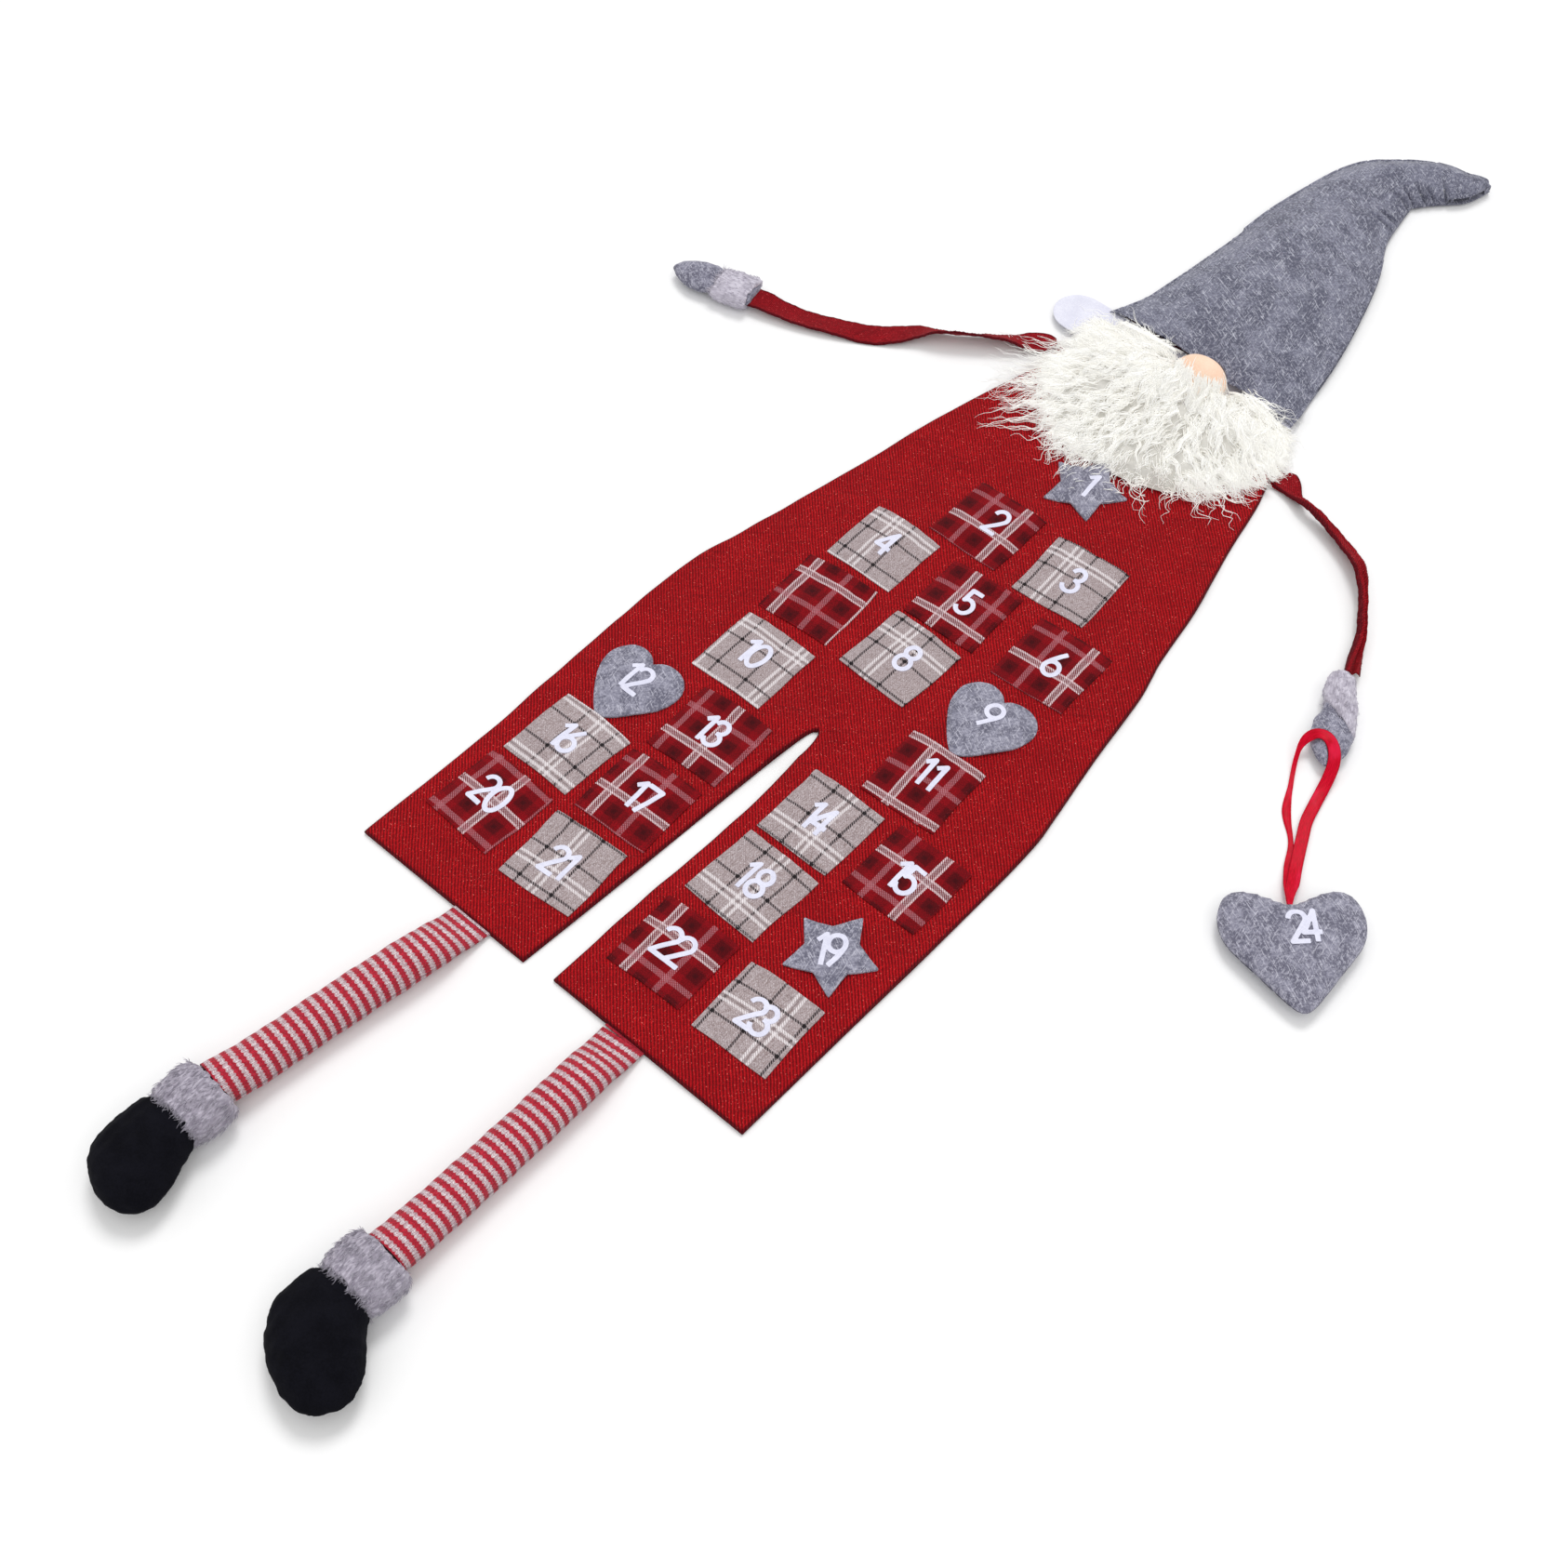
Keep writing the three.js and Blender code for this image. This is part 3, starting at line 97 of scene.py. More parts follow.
class Graph:
    """One material. Its patterns read the piece's own cloth coordinates, in millimetres."""

    def __init__(self, name, rough=0.9, sheen=0.0, specular=0.25):
        self.material = bpy.data.materials.new(name)
        self.material.use_nodes = True
        self.tree = self.material.node_tree
        self.tree.nodes.clear()
        self.shader = self.node("ShaderNodeBsdfPrincipled")
        out = self.node("ShaderNodeOutputMaterial")
        self.tree.links.new(self.shader.outputs[0], out.inputs[0])
        self.shader.inputs["Roughness"].default_value = rough
        self.shader.inputs["Specular IOR Level"].default_value = specular
        self.shader.inputs["Sheen Weight"].default_value = sheen
        self.shader.inputs["Sheen Roughness"].default_value = 0.5
        attribute = self.node("ShaderNodeAttribute")
        attribute.attribute_name = "cloth"
        self.place = attribute.outputs["Vector"]
        parts = self.node("ShaderNodeSeparateXYZ")
        self.link(self.place, parts.inputs[0])
        self.u, self.v, self.w = parts.outputs

    def node(self, kind):
        return self.tree.nodes.new(kind)

    def link(self, value, socket):
        if isinstance(value, bpy.types.NodeSocket):
            self.tree.links.new(value, socket)
        else:
            socket.default_value = value

    def math(self, operation, a, b=0.0, c=0.0):
        n = self.node("ShaderNodeMath")
        n.operation = operation
        for socket, value in zip(n.inputs, (a, b, c)):
            self.link(value, socket)
        return n.outputs[0]

    def add(self, a, b):
        return self.math("ADD", a, b)

    def times(self, a, b):
        return self.math("MULTIPLY", a, b)

    def ramp(self, value, low, high, start=0.0, end=1.0):
        """value's way from low to high, smoothed, as start to end."""
        n = self.node("ShaderNodeMapRange")
        n.interpolation_type = "SMOOTHSTEP"
        for socket, v in zip(n.inputs[:5], (value, low, high, start, end)):
            self.link(v, socket)
        return n.outputs[0]

    def near(self, value, centre, half, soft):
        """1 where value lies within half of centre, fading over soft."""
        away = self.math("ABSOLUTE", self.add(value, -centre))
        return self.ramp(away, half - soft / 2, half + soft / 2, 1.0, 0.0)

    def wrapped(self, value, period):
        """value measured from the nearest multiple of the period."""
        return self.math("WRAP", value, period / 2, -period / 2)

    def wave(self, value, period):
        return self.ramp(self.math("SINE", self.times(value, 2 * math.pi / period)), -1.0, 1.0)

    def mix(self, share, a, b):
        n = self.node("ShaderNodeMix")
        n.data_type = "RGBA"
        self.link(share, n.inputs["Factor"])
        for key, value in (("A", a), ("B", b)):
            socket = [s for s in n.inputs if s.name == key and s.type == "RGBA"][0]
            self.link(value, socket)
        return [s for s in n.outputs if s.type == "RGBA"][0]

    def laid(self, base, colour, *ramp):
        """base with an 8-bit colour laid over it, along a ramp."""
        return self.mix(self.ramp(*ramp), base, linear(*colour))

    def noise(self, size, detail=2.0, stretch=(1, 1, 1), shift=0.0, rough=0.5, place=None):
        """Smooth noise of about that size in mm, drawn out along the axes by stretch."""
        scale = self.node("ShaderNodeMapping")
        self.link(place or self.place, scale.inputs["Vector"])
        scale.inputs["Scale"].default_value = [1 / (size * s) for s in stretch]
        scale.inputs["Location"].default_value = (shift, shift * 0.7, shift * 0.3)
        n = self.node("ShaderNodeTexNoise")
        n.inputs["Scale"].default_value = 1.0
        n.inputs["Detail"].default_value = detail
        n.inputs["Roughness"].default_value = rough
        self.link(scale.outputs[0], n.inputs["Vector"])
        return n.outputs["Fac"]

    def turned(self, degrees):
        n = self.node("ShaderNodeMapping")
        n.inputs["Rotation"].default_value[2] = math.radians(degrees)
        self.link(self.place, n.inputs["Vector"])
        return n.outputs[0]

    def colour(self, value):
        self.link(value, self.shader.inputs["Base Color"])

    def rough(self, value):
        self.link(value, self.shader.inputs["Roughness"])

    def bump(self, height, depth):
        """height, from 0 to 1, as relief of that depth in mm."""
        n = self.node("ShaderNodeBump")
        n.inputs["Distance"].default_value = depth * MM
        n.inputs["Strength"].default_value = 1.0
        self.link(height, n.inputs["Height"])
        self.link(n.outputs[0], self.shader.inputs["Normal"])
        return self.material


BEAD_LENGTH = 1.35         # of a thread's bead along a twill's rib
# painted shade along a seam, where the cloth turns down
SEAM_PAINTED_SHADE = (58, 4, 16)


def red_twill(name, dark, plain, bright, painted_glint, period=2.42, lean=(1.0, 1.0), rib_share=1.0):
    """Coarse twill: diagonal ribs of beaded thread, with painted shade in their grooves, painted highlights
    on their tops and a few painted glints. w is the way in from a seam, where painted shade darkens the
    cloth.
    """
    g = Graph(name, rough=0.85, sheen=0.02, specular=0.12)
    across = np.array(lean) / math.hypot(*lean)
    s = g.add(g.times(g.u, float(across[0])), g.times(g.v, float(across[1])))
    t = g.add(g.times(g.u, -float(across[1])), g.times(g.v, float(across[0])))
    uneven = g.noise(13.0, 2.0)
    rib = g.wave(g.add(s, g.times(uneven, 1.6)), period)
    bead = g.wave(g.add(t, g.times(rib, 0.6)), BEAD_LENGTH)
    thread = g.noise(0.9, 2.0, (1, 1, 1), 3.0, 0.6)
    slub = g.noise(1.6, 2.0, (0.5, 5, 1), 21.0, 0.6)
    cloud = g.noise(30.0, 3.0, (1, 1, 1), 9.0)
    height = g.add(g.times(rib, 0.5 * rib_share), g.add(g.times(bead, 0.2), g.times(thread, 0.3)))
    # painted shade: darker where the weave lies low, in the grooves between ribs
    base = g.laid(linear(*dark), plain, height, 0.12 + 0.12 * rib_share, 0.75)
    # painted highlight: rib tops lighter, in soft patches of sheen
    lit = g.times(g.ramp(rib, 0.45, 0.95, 0.2, 1.0), g.ramp(thread, 0.38, 0.66))
    base = g.mix(g.times(lit, g.ramp(cloud, 0.3, 0.7, 0.45, 1.0)), base, linear(*bright))
    base = g.laid(base, bright, slub, 0.56, 0.74, 0.0, 0.5)
    # painted glints: small pale flecks that stand in for reflections of light
    glint = g.noise(1.3, 1.0, (1, 1, 1), 17.0)
    base = g.laid(base, painted_glint, glint, 0.67, 0.76, 0.0, 0.8)
    fibre = g.noise(5.0, 2.0, (6, 0.5, 1), 5.0, 0.5, g.turned(-38))
    base = g.laid(base, dark, fibre, 0.55, 0.8, 0.0, 0.45)
    # painted shade: darker within a few mm of the seam
    base = g.laid(base, SEAM_PAINTED_SHADE, g.w, 0.5, 2.4, 0.72, 0.0)
    g.colour(base)
    return g.bump(height, 0.3)


def felt(name, dark, plain, pale, fleck, mottle=11.0):
    """Pressed fibres of three ways and shades, over clouds of about the size of mottle."""
    g = Graph(name, rough=0.95, sheen=0.25, specular=0.12)
    cloud = g.noise(mottle, 3.0, (1, 1, 1), 2.0, 0.6)
    fine = g.noise(2.2, 3.0, (1, 1, 1), 6.0, 0.65)
    fibre = (5, 0.45, 1)
    one = g.noise(2.0, 2.0, fibre, 11.0, 0.55, g.turned(27))
    two = g.noise(2.0, 2.0, fibre, 23.0, 0.55, g.turned(-52))
    three = g.noise(2.4, 2.0, (5, 0.4, 1), 31.0, 0.55, g.turned(81))
    base = g.laid(linear(*dark), plain, cloud, 0.42, 0.6)
    base = g.laid(base, pale, fine, 0.46, 0.66, 0.0, 0.7)
    base = g.laid(base, dark, fine, 0.34, 0.5, 0.5, 0.0)
    base = g.laid(base, fleck, one, 0.57, 0.68, 0.0, 0.7)
    base = g.laid(base, dark, two, 0.56, 0.68, 0.0, 0.75)
    base = g.laid(base, fleck, three, 0.59, 0.7, 0.0, 0.6)
    g.colour(base)
    height = g.add(g.times(fine, 0.5), g.add(g.times(one, 0.3), g.times(two, 0.3)))
    return g.bump(height, 0.5)


def red_plaid(name):
    """Red ground, darker bands with a knot where they cross, and beaded pale bands. Lengths in mm."""
    g = Graph(name, rough=0.88, sheen=0.03, specular=0.12)
    period, slant, cross_slant = 60.6, 2.15, 1.9
    dark_at, pale_at = 15.2, 2.75
    red, deep, black = linear(150, 8, 22), linear(108, 5, 14), linear(36, 6, 12)
    white, grey = linear(246, 230, 234), linear(196, 136, 146)
    thread = g.noise(0.9, 2.0, (1, 1, 1), 4.0, 0.6)
    wobble = g.times(g.add(g.noise(14.0, 1.0), -0.5), 0.9)
    diagonal = g.add(g.u, g.v)
    twill = g.ramp(g.math("SINE", g.times(diagonal, 2 * math.pi / slant)), -0.25, 0.35)
    across = g.times(g.math("SUBTRACT", g.u, g.v), 2 * math.pi / cross_slant)
    other_way = g.ramp(g.math("SINE", across), -0.5, 0.4)
    bead = g.times(twill, g.ramp(other_way, 0.0, 1.0, 0.35, 1.0))
    bands = []
    for mine in (g.u, g.v):
        d = g.math("ABSOLUTE", g.wrapped(g.add(mine, wobble), period))
        half = g.math("ABSOLUTE", g.wrapped(g.add(g.add(mine, wobble), period / 2), period))
        bands.append((g.near(d, pale_at, 0.85, 0.5), g.near(d, 0.0, 2.2, 0.5), g.near(half, 0.0, 2.5, 0.7),
                      g.near(d, dark_at, 5.6, 2.2), g.near(d, dark_at, 1.9, 1.6)))
    base = g.mix(g.ramp(thread, 0.35, 0.65), deep, red)
    (_, _, _, dark1, knot1), (_, _, _, dark2, knot2) = bands
    base = g.mix(g.times(g.add(dark1, dark2), 0.26), base, black)
    base = g.mix(g.times(g.times(dark1, dark2), 0.3), base, black)
    base = g.mix(g.times(g.times(knot1, knot2), g.ramp(thread, 0.3, 0.6, 0.2, 0.55)), base, black)
    for edge, core, dim, _, _ in bands:
        base = g.mix(g.times(dim, g.ramp(bead, 0.2, 0.8, 0.12, 0.8)), base, grey)
        base = g.mix(g.times(core, 0.55), base, linear(96, 22, 34))
        base = g.mix(g.times(core, g.times(bead, 0.6)), base, white)
        base = g.mix(g.times(edge, g.ramp(bead, 0.1, 0.65, 0.24, 1.0)), base, white)
    g.colour(base)
    weave = g.add(g.times(g.wave(diagonal, slant), 0.5), g.times(thread, 0.5))
    return g.bump(weave, 0.3)


def light_plaid(name):
    """Linen-like grey-beige cloth with dotted dark lines, knots where they cross, and soft white pairs."""
    g = Graph(name, rough=0.9, sheen=0.03, specular=0.12)
    period, dot_length = 61.0, 2.3
    pair_at, line_at = 2.9, 15.7
    pale, plain, brown = linear(216, 207, 210), linear(187, 173, 175), linear(132, 116, 118)
    white, dark, soft = linear(246, 240, 242), linear(38, 32, 36), linear(112, 98, 100)
    along = g.noise(1.2, 2.0, (0.42, 3, 1), 4.0, 0.6)
    across = g.noise(1.2, 2.0, (3, 0.42, 1), 14.0, 0.6)
    speck = g.noise(0.9, 1.0, (1, 1, 1), 8.0)
    base = g.mix(g.ramp(along, 0.34, 0.62), linear(146, 128, 126), plain)
    base = g.mix(g.ramp(across, 0.48, 0.72, 0.0, 0.7), base, brown)
    base = g.mix(g.ramp(speck, 0.5, 0.72, 0.0, 0.85), base, pale)
    dot = g.ramp(g.math("SINE", g.times(g.add(g.u, g.v), 2 * math.pi / dot_length)), -0.45, 0.25)
    base = g.mix(g.times(g.math("SUBTRACT", 1.0, dot), 0.32), base, brown)
    crossing = []
    for mine in (g.u, g.v):
        wobble = g.times(g.add(g.noise(18.0, 1.0), -0.5), 0.8)
        away = g.math("ABSOLUTE", g.wrapped(g.add(mine, wobble), period))
        pair = g.near(away, pair_at, 1.2, 0.9)
        base = g.mix(g.times(pair, g.ramp(dot, 0.0, 1.0, 0.22, 0.8)), base, white)
        base = g.mix(g.times(g.near(away, 0.0, 0.5, 0.5), 0.5), base, soft)
        line = g.near(away, line_at, 1.05, 0.5)
        crossing.append(g.near(away, line_at, 1.5, 0.5))
        base = g.mix(g.times(line, g.ramp(dot, 0.0, 1.0, 0.22, 1.0)), base, dark)
    base = g.mix(g.times(g.times(*crossing), 0.9), base, linear(20, 17, 20))
    g.colour(base)
    return g.bump(g.add(g.times(along, 0.5), g.times(across, 0.5)), 0.35)


STRIPES = 8.55             # a red and a pale stripe
RED_SHARE = 0.515
WALE = 2.9                 # a stitch's width
COURSE = STRIPES / 6       # a stitch's height


def knit(name):
    """Stripes round a tube: u runs round it and v along it. Each stitch is a V, a wale wide."""
    g = Graph(name, rough=0.88, sheen=0.15, specular=0.2)
    fold = g.math("ABSOLUTE", g.wrapped(g.u, WALE))
    along = g.add(g.v, g.times(fold, 0.85))
    row = g.wrapped(along, COURSE)
    place = g.math("FRACT", g.math("DIVIDE", along, STRIPES))
    band = g.ramp(place, RED_SHARE - 0.02, RED_SHARE + 0.02)
    last = g.ramp(place, 0.98, 1.0, 1.0, 0.0)
    stripe = g.times(band, last)
    cell = g.noise(2.3, 2.0, (1, 1, 1), 3.0, 0.6)
    red = g.mix(g.ramp(cell, 0.35, 0.7), linear(178, 14, 40), linear(222, 34, 62))
    pale = g.mix(g.ramp(cell, 0.35, 0.65), linear(208, 180, 188), linear(250, 238, 242))
    base = g.mix(stripe, red, pale)
    gap = g.ramp(g.math("ABSOLUTE", row), COURSE * 0.3, COURSE * 0.5)
    split = g.near(fold, 0.0, 0.12, 0.2)
    side = g.near(fold, WALE / 2, 0.16, 0.2)
    lines = g.math("MAXIMUM", gap, g.math("MAXIMUM", g.times(split, 0.6), side))
    # painted shade: darker in the gaps and splits between stitches
    base = g.mix(g.times(lines, 0.62), base, linear(158, 40, 62))
    g.colour(base)
    height = g.add(g.times(g.math("SUBTRACT", 1.0, lines), 0.75), g.times(cell, 0.3))
    return g.bump(height, 0.6)


def plush(name, dark, plain, pale):
    """The ground of a pile: streaks along v."""
    g = Graph(name, rough=0.95, sheen=0.4, specular=0.1)
    streak = g.noise(1.5, 3.0, (1, 6, 1), 3.0, 0.6)
    cloud = g.noise(9.0, 2.0, (1, 1.5, 1), 8.0)
    base = g.laid(linear(*dark), plain, cloud, 0.3, 0.7)
    base = g.laid(base, pale, streak, 0.42, 0.68, 0.0, 0.85)
    g.colour(base)
    return g.bump(g.add(g.times(streak, 0.7), g.times(cloud, 0.3)), 0.8)


def hair(name, root, plain, pale, painted_glow=0.0):
    """u is a hair's own shade, v runs from its root at 0 to its tip at 1, darker towards the root as painted
    shade. Its glow is painted light: an emission that brightens hair where its own strands shade it.
    """
    g = Graph(name, rough=0.62, sheen=0.2, specular=0.3)
    # painted glow: an emission, though the hair is no lamp
    g.shader.inputs["Emission Color"].default_value = linear(*pale)
    g.shader.inputs["Emission Strength"].default_value = painted_glow
    base = g.laid(linear(*plain), pale, g.u, 0.0, 1.0)
    # painted shade: darker towards the root, deep in the hair
    base = g.laid(base, root, g.v, 0.0, 0.55, 0.55, 0.0)
    streak = g.noise(0.08, 2.0, (1, 1, 1), 1.0)
    base = g.laid(base, root, streak, 0.4, 0.7, 0.0, 0.25)
    g.colour(base)
    return g.bump(streak, 0.1)


def soft_cloth(name, dark, plain, rough=0.9, sheen=0.1, grain=1.2, depth=0.2, specular=0.2):
    """Fine plain cloth: crossed threads, a little cloud."""
    g = Graph(name, rough=rough, sheen=sheen, specular=specular)
    one = g.noise(grain, 2.0, (0.4, 3, 1), 3.0, 0.6)
    two = g.noise(grain, 2.0, (3, 0.4, 1), 13.0, 0.6)
    cloud = g.noise(16.0, 3.0, (1, 1, 1), 8.0)
    mixed = g.add(g.times(one, 0.35), g.add(g.times(two, 0.35), g.times(cloud, 0.3)))
    g.colour(g.mix(g.ramp(mixed, 0.38, 0.62), linear(*dark), linear(*plain)))
    return g.bump(g.add(g.times(one, 0.5), g.times(two, 0.5)), depth)


def satin(name):
    """A smooth ribbon with threads along it, pale clouds of painted highlight, and a darker woven edge."""
    g = Graph(name, rough=0.4, sheen=0.0, specular=0.08)
    line = g.noise(0.5, 2.0, (0.5, 14, 1), 3.0, 0.5)
    cloud = g.noise(14.0, 2.0, (1, 2, 1), 8.0)
    base = g.laid(linear(176, 0, 26), (222, 4, 46), line, 0.35, 0.65)
    # painted highlight: pale clouds that stand in for the satin's sheen
    base = g.laid(base, (240, 40, 80), cloud, 0.5, 0.7, 0.0, 0.6)
    edge = g.ramp(g.math("ABSOLUTE", g.u), 4.3, 4.8)
    base = g.mix(g.times(edge, 0.6), base, linear(140, 6, 24))
    g.colour(base)
    g.rough(g.ramp(line, 0.3, 0.7, 0.28, 0.42))
    return g.bump(g.add(line, g.times(edge, 0.6)), 0.08)


RED = red_twill("red_cloth", (92, 2, 8), (160, 8, 18), (206, 22, 30), (244, 112, 104))
TAPE = red_twill("red_tape", (96, 2, 12), (152, 10, 24), (190, 26, 38), (220, 90, 92), 1.5, (1.0, 0.6), 0.5)
FELT = felt("grey_felt", (104, 103, 120), (144, 143, 160), (178, 177, 192), (208, 207, 220))
HAT = felt("hat_felt", (88, 89, 106), (121, 122, 139), (156, 157, 173), (206, 207, 219), 22.0)
PLAID = red_plaid("red_plaid")
LINEN = light_plaid("light_plaid")
KNIT = knit("striped_knit")
PLUSH = plush("grey_plush", (138, 131, 146), (170, 163, 177), (200, 194, 207))
PILE = hair("plush_pile", (134, 128, 142), (166, 160, 174), (204, 199, 212))
PALE_PLUSH = plush("pale_plush", (168, 162, 176), (198, 192, 206), (222, 217, 229))
PALE_PILE = hair("pale_pile", (168, 162, 176), (200, 194, 208), (226, 221, 233))
# the last value, 0.2, is a painted glow that lifts the long hair where its strands shade each other
BEARD = hair("long_fur", (232, 229, 219), (244, 242, 235), (255, 255, 254), 0.2)
# the nap is darker than the long hair as painted shade under the strands, and its 0.02 is a faint painted
# glow
NAP = hair("fur_nap", (190, 187, 178), (206, 203, 196), (222, 220, 214), 0.02)
BLACK = soft_cloth("black_felt", (11, 11, 16), (20, 20, 27), 0.95, 0.02, 0.9, 0.15, 0.05)
NOSE = soft_cloth("peach_felt", (255, 212, 184), (255, 227, 203), 0.75, 0.1, 0.8, 0.08)
BACKING = soft_cloth("backing_cloth", (220, 220, 236), (238, 238, 250), 0.85, 0.1, 1.0, 0.15)
FILM = soft_cloth("number_film", (216, 216, 236), (234, 234, 250), 0.6, 0.0, 1.4, 0.08, 0.3)
TAPE_GREY = soft_cloth("grey_tape", (128, 128, 140), (164, 164, 174), 0.9, 0.1, 1.3, 0.3)
PADDING = soft_cloth("white_padding", (214, 214, 208), (238, 238, 232), 0.98, 0.3, 2.5, 0.8)
SATIN = satin("red_satin")
RED_THREAD = soft_cloth("red_thread", (92, 8, 16), (134, 18, 28), 0.8, 0.1, 0.8, 0.1)
PALE_THREAD = soft_cloth("pale_thread", (166, 156, 158), (204, 196, 198), 0.8, 0.1, 0.8, 0.1)
GREY_THREAD = soft_cloth("grey_thread", (150, 150, 160), (184, 184, 192), 0.8, 0.1, 0.8, 0.1)


# Meshes

def build(name, verts, faces, materials, cloth=None, which=None, crease=50):
    """A mesh object from points in mm: cloth are its cloth coordinates, which its faces' material numbers."""
    verts = np.asarray(verts, float)
    mesh = bpy.data.meshes.new(name)
    mesh.from_pydata((verts * MM).tolist(), [], [tuple(map(int, f)) for f in faces])
    for m in materials if isinstance(materials, (list, tuple)) else [materials]:
        mesh.materials.append(m)
    if which is not None:
        mesh.polygons.foreach_set("material_index", np.asarray(which, np.int32))
    mesh.polygons.foreach_set("use_smooth", np.ones(len(mesh.polygons), bool))
    if crease:
        mesh.set_sharp_from_angle(angle=math.radians(crease))
    place = mesh.attributes.new("cloth", "FLOAT_VECTOR", "POINT")
    values = verts if cloth is None else np.asarray(cloth, float)
    place.data.foreach_set("vector", values.astype(np.float32).ravel())
    mesh.update()
    obj = bpy.data.objects.new(name, mesh)
    bpy.context.scene.collection.objects.link(obj)
    return obj


def joined(*parts):
    """Several (verts, faces, cloth, material number) as one."""
    verts, faces, cloth, which, start = [], [], [], [], 0
    for v, f, c, m in parts:
        verts.append(v)
        cloth.append(c)
        faces += [tuple(int(i) + start for i in face) for face in f]
        which += [m] * len(f)
        start += len(v)
    return np.concatenate(verts), faces, np.concatenate(cloth), which


def keep(obj, body, node):
    """What most pieces say: their body and the CAD node that they stand for."""
    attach(obj, body)
    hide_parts(node)


def smoothstep(x, low, high):
    """0 up to low, 1 from high on, smooth between them."""
    t = np.clip((np.asarray(x, float) - low) / (high - low), 0, 1)
    return t * t * (3 - 2 * t)


WAVE_COUNT = 9


def waves(points, length, seed):
    """Smooth seeded waves of about that length over points, mostly from -1 to 1."""
    draw = np.random.default_rng(seed)
    points = np.asarray(points, float)
    total = np.zeros(len(points))
    for _ in range(WAVE_COUNT):
        way = draw.normal(size=points.shape[1])
        way *= 2 * math.pi / length * draw.uniform(0.6, 1.5) / np.linalg.norm(way)
        total += np.sin(points @ way + draw.uniform(0, 2 * math.pi))
    return total / math.sqrt(WAVE_COUNT)


def cad(name):
    """A CAD node's welded points in mm, and its triangles."""
    mesh = nodes[name].data
    co = np.zeros(len(mesh.vertices) * 3)
    mesh.vertices.foreach_get("co", co)
    co = co.reshape(-1, 3) / MM
    mesh.calc_loop_triangles()
    tris = np.zeros(len(mesh.loop_triangles) * 3, np.int32)
    mesh.loop_triangles.foreach_get("vertices", tris)
    _, first, same = np.unique(np.round(co, 3), axis=0, return_index=True, return_inverse=True)
    tris = same.ravel()[tris].reshape(-1, 3)
    good = (tris[:, 0] != tris[:, 1]) & (tris[:, 1] != tris[:, 2]) & (tris[:, 0] != tris[:, 2])
    return co[first], tris[good]


def rims(tris):
    """Closed lines of point numbers round a set of triangles, with the area on the left."""
    edges = {}
    for a, b, c in tris:
        for p, q in ((a, b), (b, c), (c, a)):
            edges[(int(p), int(q))] = True
    follow = {}
    for p, q in edges:
        if (q, p) not in edges:
            follow.setdefault(p, []).append(q)
    loops = []
    while follow:
        start = next(iter(follow))
        loop, here = [], start
        while here in follow:
            loop.append(here)
            following = follow[here]
            here_next = following.pop()
            if not following:
                del follow[here]
            here = here_next
        loops.append(loop)
    return loops


def loop_area(loop):
    """A closed line's area, below 0 where it runs clockwise."""
    x, y = np.asarray(loop).T
    return 0.5 * float(np.sum(x * np.roll(y, -1) - y * np.roll(x, -1)))


def outlines(name):
    """A CAD node's outline seen from above, largest line first, in mm."""
    co, tris = cad(name)
    a, b, c = co[tris[:, 0]], co[tris[:, 1]], co[tris[:, 2]]
    normal = np.cross(b - a, c - a)
    up = normal[:, 2] > 0.02 * np.linalg.norm(normal, axis=1)
    loops = [co[loop][:, :2] for loop in rims(tris[up]) if len(loop) > 3]
    return sorted(loops, key=lambda p: -abs(loop_area(p)))


SAME_PLACE = 0.4           # points of an outline that are closer than this are one


def rounded(loop, step, corner=35.0):
    """A closed line redrawn as a smooth curve through its points, sharp where it turns by more than that."""
    loop = np.asarray(loop, float)
    keepers = [0]
    for i in range(1, len(loop)):
        if np.linalg.norm(loop[i] - loop[keepers[-1]]) > SAME_PLACE:
            keepers.append(i)
    loop = loop[keepers]
    n = len(loop)
    before, after = np.roll(loop, 1, 0), np.roll(loop, -1, 0)
    one, two = loop - before, after - loop
    turn = np.degrees(np.abs(np.arctan2(one[:, 0] * two[:, 1] - one[:, 1] * two[:, 0], (one * two).sum(1))))
    sharp = turn > corner
    out = []
    for i in range(n):
        j = (i + 1) % n
        p0, p1, p2, p3 = loop[i - 1], loop[i], loop[j], loop[(j + 1) % n]
        length = np.linalg.norm(p2 - p1)
        m1 = (p2 - p1) if sharp[i] else (p2 - p0) * length / (length + np.linalg.norm(p1 - p0))
        m2 = (p2 - p1) if sharp[j] else (p3 - p1) * length / (length + np.linalg.norm(p3 - p2))
        count = max(1, int(math.ceil(length / step)))
        for k in range(count):
            t = k / count
            out.append((2 * t**3 - 3 * t**2 + 1) * p1 + (t**3 - 2 * t**2 + t) * m1
                       + (3 * t**2 - 2 * t**3) * p2 + (t**3 - t**2) * m2)
    return np.array(out)


def inside(points, loops):
    """Which points lie inside closed lines."""
    hit = np.zeros(len(points), bool)
    x, y = points.T
    for loop in loops:
        for (x0, y0), (x1, y1) in zip(loop, np.roll(loop, -1, 0)):
            if y0 != y1:
                crossing = (y0 > y) != (y1 > y)
                hit ^= crossing & (x < x0 + (y - y0) * (x1 - x0) / (y1 - y0))
    return hit


def edge_distance(points, loops):
    """Each point's distance from the nearest of closed lines."""
    best = np.full(len(points), 1e9)
    for loop in loops:
        for p, q in zip(loop, np.roll(loop, -1, 0) - loop):
            t = np.clip(((points - p) @ q) / max(float(q @ q), 1e-9), 0, 1)
            off = points - p - t[:, None] * q
            best = np.minimum(best, (off * off).sum(1))
    return np.sqrt(best)


